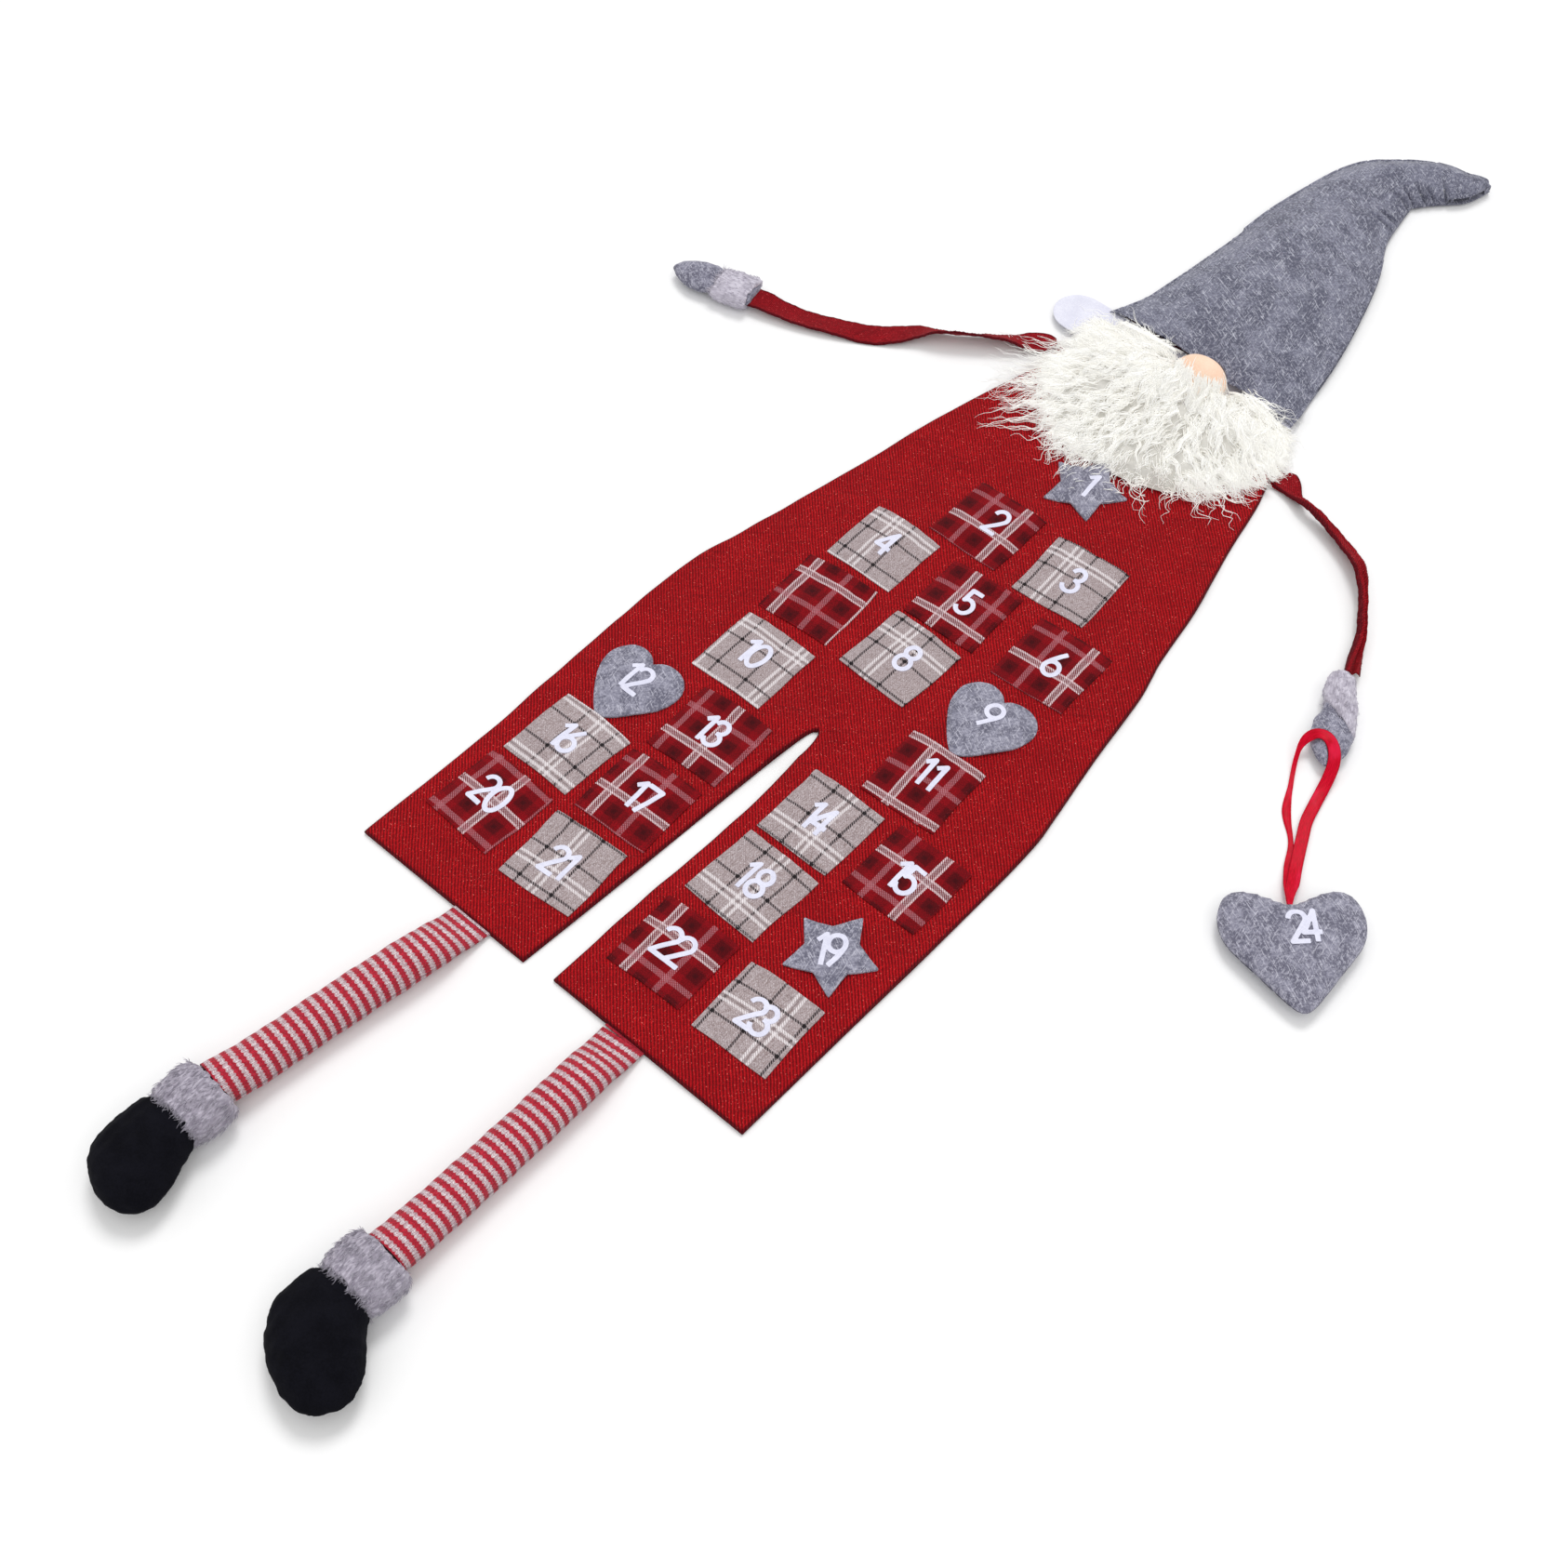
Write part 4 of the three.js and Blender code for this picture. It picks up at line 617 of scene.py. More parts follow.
def region(loops, step, rows=()):
    """Triangles over the area inside closed lines, with extra rows of points beside the edge: points,
    triangles and each point's distance from the edge."""
    given = [np.asarray(p, float) for p in loops]
    fixed = np.concatenate(given)
    edges, start = [], 0
    for p in given:
        edges += [(start + i, start + (i + 1) % len(p)) for i in range(len(p))]
        start += len(p)
    extra = []
    for p in given:
        ahead = np.roll(p, -1, 0) - np.roll(p, 1, 0)
        normal = np.stack([-ahead[:, 1], ahead[:, 0]], 1)
        normal /= np.maximum(np.linalg.norm(ahead, axis=1), 1e-9)[:, None]
        if loop_area(p) < 0:
            normal = -normal
        if len(extra) and p is not given[0]:
            normal = -normal
        for row in rows:
            q = p + normal * row
            good = inside(q, given)
            good[good] &= edge_distance(q[good], given) > 0.85 * row
            extra.append(q[good])
    low, high = fixed.min(0), fixed.max(0)
    first = (rows[-1] if rows else 0.0) + 0.55 * step
    columns = np.arange(low[0], high[0], step)
    lines = np.arange(low[1], high[1], step * 0.87)
    grid = [(x + (k % 2) * step / 2, y) for k, y in enumerate(lines) for x in columns]
    grid = np.array(grid).reshape(-1, 2)
    grid = grid[inside(grid, given)]
    if len(grid):
        extra.append(grid[edge_distance(grid, given) > first])
    points = np.concatenate([fixed] + extra) if extra else fixed
    made = delaunay_2d_cdt([Vector(p) for p in points], edges, [], 0, 1e-5)
    points = np.array([tuple(p) for p in made[0]])
    tris = np.array([f for f in made[2] if len(f) == 3])
    tris = tris[inside(points[tris].mean(1), given)]
    used, back_to = np.unique(tris, return_inverse=True)
    points, tris = points[used], back_to.reshape(-1, 3)
    a, b, c = points[tris[:, 0]], points[tris[:, 1]], points[tris[:, 2]]
    area = (b[:, 0] - a[:, 0]) * (c[:, 1] - a[:, 1]) - (b[:, 1] - a[:, 1]) * (c[:, 0] - a[:, 0])
    tris[area < 0] = tris[area < 0][:, ::-1]
    return points, tris, edge_distance(points, given)


def shell(points, tris, top, bottom):
    """A closed form between two heights over triangles in plan."""
    n = len(points)
    verts = np.concatenate([np.column_stack([points, top]), np.column_stack([points, bottom])])
    faces = [tuple(t) for t in tris] + [tuple(t[::-1] + n) for t in tris]
    for loop in rims(tris):
        for a, b in zip(loop, loop[1:] + loop[:1]):
            faces.append((a, a + n, b + n, b))
    return verts, faces


def relaxed(points, tris, values, rounds, held):
    """Heights evened out over the triangles, held where held is true."""
    pairs = np.unique(np.sort(np.concatenate([tris[:, [0, 1]], tris[:, [1, 2]], tris[:, [2, 0]]]), 1), axis=0)
    a, b = pairs.T
    count = np.bincount(a, minlength=len(points)) + np.bincount(b, minlength=len(points))
    values = values.copy()
    for _ in range(rounds):
        total = np.bincount(a, values[b], len(points)) + np.bincount(b, values[a], len(points))
        values = np.where(held, values, 0.4 * values + 0.6 * total / np.maximum(count, 1))
    return values


FAR = 200.0                # a height well clear of the object
NEAR_FLOOR = 10.0


def caster(name):
    """A function that gives a CAD node's highest or lowest height at places in plan."""
    co, tris = cad(name)
    tree = BVHTree.FromPolygons(co.tolist(), tris.tolist())

    def height(points, from_above=True):
        out = []
        for x, y in points:
            z, way = (FAR, -1.0) if from_above else (-FAR, 1.0)
            hit = tree.ray_cast(Vector((x, y, z)), Vector((0, 0, way)))[0]
            out.append(hit.z if hit else tree.find_nearest(Vector((x, y, NEAR_FLOOR)))[0].z)
        return np.array(out)
    return height


def sections_to_mesh(rings):
    """Closed rings of points, in order, as a closed tube."""
    rings = np.asarray(rings, float)
    m, k = rings.shape[:2]
    faces = []
    for i in range(m - 1):
        for j in range(k):
            a, b = i * k + j, i * k + (j + 1) % k
            faces.append((a, b, b + k, a + k))
    faces.append(tuple(range(k))[::-1])
    faces.append(tuple((m - 1) * k + j for j in range(k)))
    return rings.reshape(-1, 3), faces


def curve(points, step):
    """Points along a centripetal curve through the given rows, about step apart. Works on any columns."""
    p = np.asarray(points, float)
    full = np.concatenate([2 * p[:1] - p[1:2], p, 2 * p[-1:] - p[-2:-1]])
    out = []
    for i in range(1, len(full) - 2):
        p0, p1, p2, p3 = full[i - 1:i + 3]
        t = [0.0]
        for a, b in ((p0, p1), (p1, p2), (p2, p3)):
            t.append(t[-1] + max(1e-4, float(np.linalg.norm(b[:3] - a[:3]))) ** 0.5)
        count = max(1, int(math.ceil(np.linalg.norm((p2 - p1)[:3]) / step)))
        for k in range(count):
            s = t[1] + (t[2] - t[1]) * k / count
            a1 = (t[1] - s) / t[1] * p0 + s / t[1] * p1
            a2 = (t[2] - s) / (t[2] - t[1]) * p1 + (s - t[1]) / (t[2] - t[1]) * p2
            a3 = (t[3] - s) / (t[3] - t[2]) * p2 + (s - t[2]) / (t[3] - t[2]) * p3
            b1 = (t[2] - s) / t[2] * a1 + s / t[2] * a2
            b2 = (t[3] - s) / (t[3] - t[1]) * a2 + (s - t[1]) / (t[3] - t[1]) * a3
            out.append((t[2] - s) / (t[2] - t[1]) * b1 + (s - t[1]) / (t[2] - t[1]) * b2)
    out.append(p[-1])
    return np.array(out)


def way_along(line):
    """How far along a line each of its points lies."""
    return np.concatenate([[0], np.cumsum(np.linalg.norm(np.diff(line, axis=0), axis=1))])


def strands(paths, radius, tip, sides=3, shade=None):
    """Many thin tapered strands at once. paths is (strands, points, 3). Cloth: shade, way along, number."""
    paths = np.asarray(paths, float)
    n, k = paths.shape[:2]
    ahead = np.gradient(paths, axis=1)
    ahead /= np.maximum(np.linalg.norm(ahead, axis=2, keepdims=True), 1e-9)
    side = np.cross(ahead, np.array([0.0, 0.0, 1.0]))
    flat = np.linalg.norm(side, axis=2, keepdims=True) < 1e-3
    side = np.where(flat, np.array([1.0, 0, 0]), side)
    side /= np.linalg.norm(side, axis=2, keepdims=True)
    up = np.cross(side, ahead)
    way = np.linspace(0, 1, k)
    taper = (1 - (1 - tip) * way ** 2) * np.minimum(1, way * 4 + 0.5)
    radius = np.asarray(radius, float).reshape(-1, 1) if np.ndim(radius) else radius
    radius = np.broadcast_to(radius, (n, 1))
    r = (radius * taper)[..., None]
    rings = []
    for j in range(sides):
        angle = 2 * math.pi * j / sides + math.pi / 2
        rings.append(paths + r * (math.cos(angle) * side + math.sin(angle) * up))
    verts = np.stack(rings, 2).reshape(-1, 3)
    base = (np.arange(n) * k * sides)[:, None, None]
    i = (np.arange(k - 1) * sides)[None, :, None]
    j = np.arange(sides)[None, None, :]
    nxt = (j + 1) % sides
    near, beside = base + i + j, base + i + nxt
    quads = np.stack([near, beside, beside + sides, near + sides], -1)
    faces = [tuple(q) for q in quads.reshape(-1, 4)]
    ring = np.arange(sides)
    first = (base[:, 0, 0][:, None] + ring[::-1]).tolist()
    last = (base[:, 0, 0][:, None] + (k - 1) * sides + ring).tolist()
    faces += [tuple(f) for f in first] + [tuple(f) for f in last]
    shade = np.zeros(n) if shade is None else np.asarray(shade, float)
    values = (shade[:, None, None], way[None, :, None], np.arange(n)[:, None, None] * 0.37)
    cloth = np.stack([np.broadcast_to(v, (n, k, sides)) for v in values], -1).reshape(-1, 3)
    return verts, faces, cloth


# Ribbon: a satin cord loop from the heart's notch over the mitten, folded narrow on its first half.
# Its rows are measured from the right wrist.

RIBBON_WIDTH = 10.0
RIBBON_FROM = (283.6, 229.0, 0)
RIBBON_ROWS = [
    [91.1, -218.3, 11], [87.2, -212.2, 9.4], [82.6, -204.4, 6.4], [76.5, -194.6, 3.2], [68.4, -181.5, 1],
    [60.1, -168.5, 0.8], [51.8, -157.8, 0.8], [44.2, -150, 0.8], [37, -141.5, 0.8], [31.5, -132, 0.8],
    [25.4, -119.5, 0.9], [19.2, -107.5, 1.6], [14.2, -97, 4.4], [11.3, -88, 8.6], [12, -80.5, 12.8],
    [15.6, -75.4, 16], [21.5, -73, 17.6], [28.5, -74.2, 17.2], [35.3, -78.6, 15], [40.6, -85.6, 11.2],
    [44, -95.5, 6.6], [47, -109, 3.2], [50.4, -124.5, 2.3], [54.4, -140.2, 2.3], [60.6, -154.4, 2.3],
    [66.6, -167.6, 2.3], [73.2, -181.7, 2.7], [79.8, -194.9, 5], [83.8, -204.4, 8], [87.8, -212, 10.9],
    [91.4, -218, 12.3],
]
rows = np.array(RIBBON_ROWS) + RIBBON_FROM
RIBBON_LINE = line = curve(rows, 2.5)
ahead = np.gradient(line, axis=0)
ahead /= np.linalg.norm(ahead, axis=1)[:, None]
run = way_along(line)
total = run[-1]
rings, cloth = [], []
profile = np.array([(-1, 0.3), (-0.95, 0.9), (-0.5, 1), (0, 1), (0.5, 1), (0.95, 0.9), (1, 0.3)])
section = np.concatenate([profile, profile[::-1] * (1, -1)])
for i, p in enumerate(line):
    side = np.cross((0, 0, 1.0), ahead[i])
    side /= np.linalg.norm(side)
    up = np.cross(ahead[i], side)
    end = min(run[i], total - run[i])
    folded = float(smoothstep(run[i], 40, 70) * (1 - 0.55 * math.exp(-((run[i] - 96) / 16) ** 2))
                   * (1 - smoothstep(run[i], 150, 172)))
    half = RIBBON_WIDTH / 2 * min(1.0, 0.36 + 0.64 * end / 24.0) * (1 - 0.62 * folded)
    curlup = 0.5 * (section[:, 0] ** 2) * math.sin(run[i] * 0.05) * min(1.0, end / 20)
    ring = p + section[:, :1] * half * side + (section[:, 1] * 0.35 + curlup)[:, None] * up
    ring[:, 2] = np.maximum(ring[:, 2], 0.1)
    rings.append(ring)
    way, inward = np.full(len(section), run[i]), np.full(len(section), 1.0)
    cloth.append(np.column_stack([section[:, 0] * half, way, inward]))
verts, faces = sections_to_mesh(rings)
ribbon = build("heart_ribbon_satin", verts, faces, SATIN, np.concatenate(cloth), None, 60)
keep(ribbon, "ornament_ribbon", "heart_ribbon")


# Body: two cloths with a fleece between them, sewn at the edge

SEAM_DEEP = 4.0            # beyond this way in from a seam its painted shade is gone
CLOTH_LEVEL = 5.0          # the front cloth's upper face
SLIT_TOP = np.array([6.0, -122.0])
# The front's right corner lies back under the brim: from here it is drawn in
BRIM_CORNER = (107.5, 380)


def ground(points):
    """Height of the body's front cloth: nearly flat, with slow waves, and creases round the slit's top."""
    points = np.asarray(points, float)
    calm = smoothstep(points[:, 1], 215, 300)
    rough = 0.75 * waves(points, 150, 5) + 0.45 * waves(points, 52, 6)
    off = points - SLIT_TOP
    away = np.hypot(*off.T)
    fan_out = np.sin(np.arctan2(off[:, 1], off[:, 0]) * 11 + 0.05 * away + 0.6 * waves(points, 30, 8))
    creases = 0.8 * fan_out * np.exp(-((away - 22) / 26) ** 2)
    return CLOTH_LEVEL + (1 - calm) * (rough + creases)


def seam_drop(distance, depth, run):
    """How far a cloth has come down at a distance from its seam, round over run."""
    near = np.clip(1 - distance / run, 0, 1)
    return depth * (1 - np.sqrt(1 - near ** 2))


body_loop = [rounded(p, 5.0) for p in outlines("body_front_panel")[:1]]
x, y = body_loop[0].T
limit = BRIM_CORNER[0] - 0.5 * (y - BRIM_CORNER[1])
body_loop[0][:, 0] = np.where(y > BRIM_CORNER[1], np.minimum(x, limit), x)
points, tris, distance = region(body_loop, 5.5, (0.5, 1.2, 2.2, 3.6))
top = ground(points) - seam_drop(distance, 2.6, 3.6) - 0.35 * np.exp(-((distance - 5.0) / 1.2) ** 2)
low = np.maximum(top - 1.1, 1.45)
low = np.where(distance > 2.0, np.maximum(low, 3.7), np.minimum(low, top - 0.3))
verts, faces = shell(points, tris, top, low)
inward = np.minimum(np.tile(distance, 2), SEAM_DEEP)
body_front = build("body_front_panel_cloth", verts, faces, RED, np.column_stack([verts[:, :2], inward]))
keep(body_front, "body", "body_front_panel")
front_area = abs(loop_area(body_loop[0])) * MM * MM

points, tris, distance = region(body_loop, 9.0, (0.8, 2.4))
verts, faces = shell(points, tris, np.full(len(points), 1.2), 0.25 * np.clip(1 - distance / 2.4, 0, 1))
inward = np.minimum(np.tile(distance, 2), SEAM_DEEP)
body_back = build("body_back_panel_cloth", verts, faces, RED, np.column_stack([verts[:, :2], inward]))
keep(body_back, "body", "body_back_panel")


EASED = (0.4, 1.2)         # rows of points beside a flat cloth's edge


def plain_sheet(name, node, material, body, slot, step, rests, shape=None):
    """A flat cloth over a CAD slab's outline, with its edges eased."""
    lo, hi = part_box(node)
    low, high = lo.z / MM, hi.z / MM
    loops = [rounded(p, step / 2) for p in outlines(node)]
    points, tris, distance = region(loops, step, EASED)
    half = (high - low) / 2
    round_off = 0.6 * half * np.clip(1 - distance / EASED[-1], 0, 1) ** 2
    verts, faces = shell(points, tris, high - round_off, low + round_off)
    verts = verts if shape is None else shape(verts)
    cloth = np.column_stack([verts[:, :2], np.full(len(verts), SEAM_DEEP)])
    obj = build(name, verts, faces, material, cloth)
    keep(obj, body, node)
    size = loops[0].max(0) - loops[0].min(0)
    area = (abs(loop_area(loops[0])) - sum(abs(loop_area(p)) for p in loops[1:])) * MM * MM
    area = min(area, float(size[0] * size[1]) * MM * MM)


SHEETS = [
    ("body_fleece_sheet", "body_fleece", PADDING, "body", "white_padding", 12.0, "body_back_panel_cloth"),
    ("left_leg_tab_knit", "left_leg_tab", KNIT, "body", "striped_knit", 4.0, "body_back_panel_cloth"),
    ("left_shoulder_tab_tape", "left_shoulder_tab", TAPE, "body", "red_cloth", 3.0, "body_back_panel_cloth"),
    ("right_leg_tab_knit", "right_leg_tab", KNIT, "body", "striped_knit", 4.0, "body_back_panel_cloth"),
    ("right_shoulder_tab_tape", "right_shoulder_tab", TAPE, "body", "red_cloth", 3.0,
     "body_back_panel_cloth"),
    ("hanging_loop_tape", "hanging_loop", TAPE_GREY, "body", "grey_tape", 2.5, "hat_back"),
    ("beard_backing_band_cloth", "beard_backing_band", BACKING, "body", "backing_cloth", 4.0,
     "body_front_panel_cloth"),
    ("beard_backing_flap_cloth", "beard_backing_flap", BACKING, "beard_flap", "backing_cloth", 5.0,
     "body_front_panel_cloth"),
]
for sheet in SHEETS:
    plain_sheet(*sheet)


# Numbers: strokes of iron-on film

def arc(x, y, rx, ry, start, end, count):
    """Points on an ellipse from one angle to another, in degrees."""
    angles = np.radians(np.linspace(start, end, count))
    return [(x + rx * math.cos(a), y + ry * math.sin(a)) for a in angles]


DIGITS = {
    "0": (13.2, [arc(6.6, 13, 6.6, 13, 0, 360, 30)]),
    "1": (6.0, [[(0, 20.5), (5.6, 26), (5.6, 0)]]),
    "2": (12.8, [arc(6.3, 19.6, 6.3, 6.4, 172, -18, 16) + [(0.4, 0), (12.8, 0)]]),
    "3": (12.4, [arc(5.8, 19.8, 5.7, 6.2, 165, -90, 18), arc(5.8, 6.9, 6.6, 6.9, 90, -165, 18)]),
    "4": (13.2, [[(9.4, 0), (9.4, 26), (0, 7.4), (13.2, 7.4)]]),
    "5": (12.4, [[(11.4, 26), (2.0, 26), (1.4, 14.2)] + arc(5.6, 8.2, 6.8, 8.2, 130, -160, 20)]),
    "6": (13.2, [[(9.8, 26), (6.6, 21.5), (2.2, 14.0)] + arc(6.6, 7.2, 6.6, 7.2, 158, -202, 26)]),
    "7": (12.4, [[(0, 26), (12.4, 26), (4.6, 0)]]),
    "8": (13.0, [arc(6.5, 19.7, 5.5, 6.3, 0, 360, 26), arc(6.5, 6.9, 6.5, 6.9, 0, 360, 28)]),
    "9": (13.2, [[(3.4, 0), (6.6, 4.5), (11.0, 12.0)] + arc(6.6, 18.8, 6.6, 7.2, -22, 338, 26)]),
}
STROKE = 2.0               # half a stroke's width
GLYPH_HEIGHT = 26.0        # from the lowest stroke's middle to the highest
CELL = 0.42                # of the grid on which a number's outline is found
REACH = 18.5               # the grid's half height
NARROW = 10.0              # its half width is that of the number, but no less than this,
MARGIN = 3                 # and this more


def number_loops(text, width):
    """Outlines of a number whose strokes overlap where it is narrow, centred on its middle."""
    glyphs = [DIGITS[c] for c in text]
    if len(glyphs) == 1:
        starts = [-glyphs[0][0] / 2]
    else:
        half = width / 2 - STROKE
        starts = [-half, half - glyphs[1][0]]
    segments, ends = [], []
    for (_, lines), start in zip(glyphs, starts):
        for line in lines:
            p = np.array(line) + (start, -GLYPH_HEIGHT / 2)
            segments += [(a, b) for a, b in zip(p[:-1], p[1:])]
            if np.hypot(*(p[0] - p[-1])) > STROKE:
                ends += [(p[0], p[0] - p[1]), (p[-1], p[-1] - p[-2])]
    reach = max(width / 2, NARROW) + MARGIN
    xs = np.arange(-reach, reach, CELL)
    ys = np.arange(-REACH, REACH, CELL)
    grid = np.stack(np.meshgrid(xs, ys), -1).reshape(-1, 2)
    best = np.full(len(grid), 1e9)
    for a, b in segments:
        t = np.clip(((grid - a) @ (b - a)) / max(float((b - a) @ (b - a)), 1e-9), 0, 1)
        away = np.linalg.norm(grid - a - t[:, None] * (b - a), axis=1)
        for tip, out in ends:
            if (tip == a).all() or (tip == b).all():
                past = (grid - tip) @ (out / np.linalg.norm(out))
                away = np.where(past > 0, np.maximum(away, past + STROKE - 0.6), away)
        best = np.minimum(best, away)
    return contours((best - STROKE).reshape(len(ys), len(xs)), xs, ys)


def contours(field, xs, ys):
    """Closed lines where a sampled field crosses zero."""
    links = {}

    def crossing(i, j, k, l):
        a, b = field[i, j], field[k, l]
        t = a / (a - b)
        return (xs[j] + t * (xs[l] - xs[j]), ys[i] + t * (ys[k] - ys[i]))

    where = {}
    sign = field < 0
    mixed = np.argwhere((sign[:-1, :-1] != sign[1:, :-1]) | (sign[:-1, :-1] != sign[:-1, 1:])
                        | (sign[:-1, :-1] != sign[1:, 1:]))
    for i, j in mixed:
        corners = [(i, j), (i, j + 1), (i + 1, j + 1), (i + 1, j)]
        cuts = []
        for a in range(4):
            p, q = corners[a], corners[(a + 1) % 4]
            if sign[p] != sign[q]:
                key = (min(p, q), max(p, q))
                where[key] = crossing(*key[0], *key[1])
                cuts.append(key)
        for a in range(0, len(cuts) - 1, 2):
            links.setdefault(cuts[a], []).append(cuts[a + 1])
            links.setdefault(cuts[a + 1], []).append(cuts[a])
    loops = []
    seen = set()
    for start in links:
        if start in seen:
            continue
        loop, here = [], start
        while here is not None:
            seen.add(here)
            loop.append(where[here])
            here = next((k for k in links[here] if k not in seen), None)
        loops.append(np.array(loop))
    return [even(p) for p in loops if len(p) > 12]


SPACING = 0.75             # between the points of a line that was found on a grid


def even(loop):
    """A closed line with points a set distance apart."""
    closed = np.vstack([loop, loop[:1]])
    run = way_along(closed)
    count = max(8, int(run[-1] / SPACING))
    at = np.linspace(0, run[-1], count, endpoint=False)
    return np.stack([np.interp(at, run, closed[:, k]) for k in (0, 1)], 1)


def turn(points, degrees, centre=(0, 0)):
    """Points in plan turned about the origin, which then lies at centre."""
    a = math.radians(degrees)
    x, y = np.asarray(points, float).T
    return np.stack([x * math.cos(a) - y * math.sin(a) + centre[0],
                     x * math.sin(a) + y * math.cos(a) + centre[1]], 1)


FILM_LOW, FILM_HIGH = 0.05, 0.5     # a film's two faces above the cloth


def number_parts(text, width, centre, degrees, height, material):
    """A number as a thin film on a surface. height gives the surface's height in plan."""
    loops = [turn(p, degrees, centre) for p in number_loops(text, width)]
    points, tris, _ = region(loops, 2.4)
    surface = height(points)
    verts, faces = shell(points, tris, surface + FILM_HIGH, surface + FILM_LOW)
    return verts, faces, verts.copy(), material


STITCH_RISE = (-0.12, 0.3, -0.12)   # of a stitch's start, middle and end above the cloth


def stitch_parts(line, height, material, length=2.3, gap=1.3, radius=0.26):
    """Stitches along a line in plan, each dipping into the cloth at both ends."""
    line = np.asarray(line, float)
    run = way_along(line)
    starts = np.arange(0.6, run[-1] - length, length + gap)
    at = starts[:, None] + np.array([0, 0.5, 1])[None] * length
    x, y = (np.interp(at.ravel(), run, line[:, k]) for k in (0, 1))
    z = height(np.stack([x, y], 1)).reshape(at.shape) + np.array(STITCH_RISE)[None]
    paths = np.stack([x.reshape(at.shape), y.reshape(at.shape), z], -1)
    verts, faces, _ = strands(paths, radius, 1.0, 4)
    return verts, faces, verts.copy(), material


# Pockets

SIDE = 70.0
BOW = 6.4                  # how far a pocket's mouth stands open
HEM = 400.0                # the hem below the part's origin
# Number, kind, centre in plan above the hem, turn, share of the side, the plaid's bright crossing from the
# lower left corner, the number's middle from there and its width
POCKETS = [
    (2, "red", -35, 558, 0, 1, (52.9, 28.2), (39.6, 40.7), 18),
    (3, "light", 55, 555.6, 3.3, 1, (22.6, 53.7), (38.1, 35.7), 18),
    (4, "light", -84, 479.8, 0.2, 0.96, (24.1, 58.4), (33.6, 37.7), 18),
    (5, "red", 5, 476, 2.5, 1, (26.1, 15.3), (38.1, 38.2), 18),
    (6, "red", 98, 475, 2.5, 1, (55.1, 28.1), (37.4, 36.7), 18),
    (7, "red", -88, 402, 4, 1, (11.6, 52.1), None, 0),
    (8, "light", 3, 399, -2.4, 1, (25.6, 48.7), (40.6, 37.4), 18),
    (10, "light", -84.7, 319, 1.2, 1.01, (61.1, 59.4), (34.1, 38.7), 25),
    (11, "red", 95, 318, 3.5, 1, (23.9, 5.5), (36.1, 42.2), 20.6),
    (13, "red", -58, 239, 2.5, 1, (38.4, 19.1), (34.3, 38.7), 25.4),
    (14, "light", 62, 235.6, 0.5, 1, (39.6, 17.2), (33.3, 34.7), 24.6),
    (15, "red", 145, 240, 0.3, 1, (48.6, 42.3), (34.6, 33.2), 24.4),
    (16, "light", -137, 158.4, -1.7, 1.01, (42.6, 6.7), (33.6, 38.3), 24.4),
    (17, "red", -58, 157, 3.5, 1, (13.8, 28.7), (37.9, 36.7), 24.6),
    (18, "light", 60.7, 157.3, -2, 1.02, (39.6, 17.5), (35.9, 39.4), 27.4),
    (20, "red", -142, 79, -2.5, 1, (40.6, 35.9), (32.6, 39.7), 31.6),
    (21, "light", -59, 76, 4.5, 0.99, (31.6, 22.5), (32.6, 32.7), 24.4),
    (22, "red", 58, 75, 2, 1, (16.2, 44.3), (33.6, 37.7), 30),
    (23, "light", 142.7, 75, 3.2, 0.99, (49.6, 34.4), (34.9, 34.7), 27.4),
]


def bow_share(u, v):
    """A pocket's bow: none at its sides, u = 1, and its foot, v = 0."""
    across = np.maximum(0, 1 - u * u) ** 0.8
    return across * np.sin(np.clip(v / 0.55, 0, 1) * math.pi / 2)


SEAM_IN = 2.1              # a pocket's stitches lie that far in from its edge
FINE = [0, 0.008, 0.022, 0.05]      # rows of points beside a pocket's edge, as shares of its side


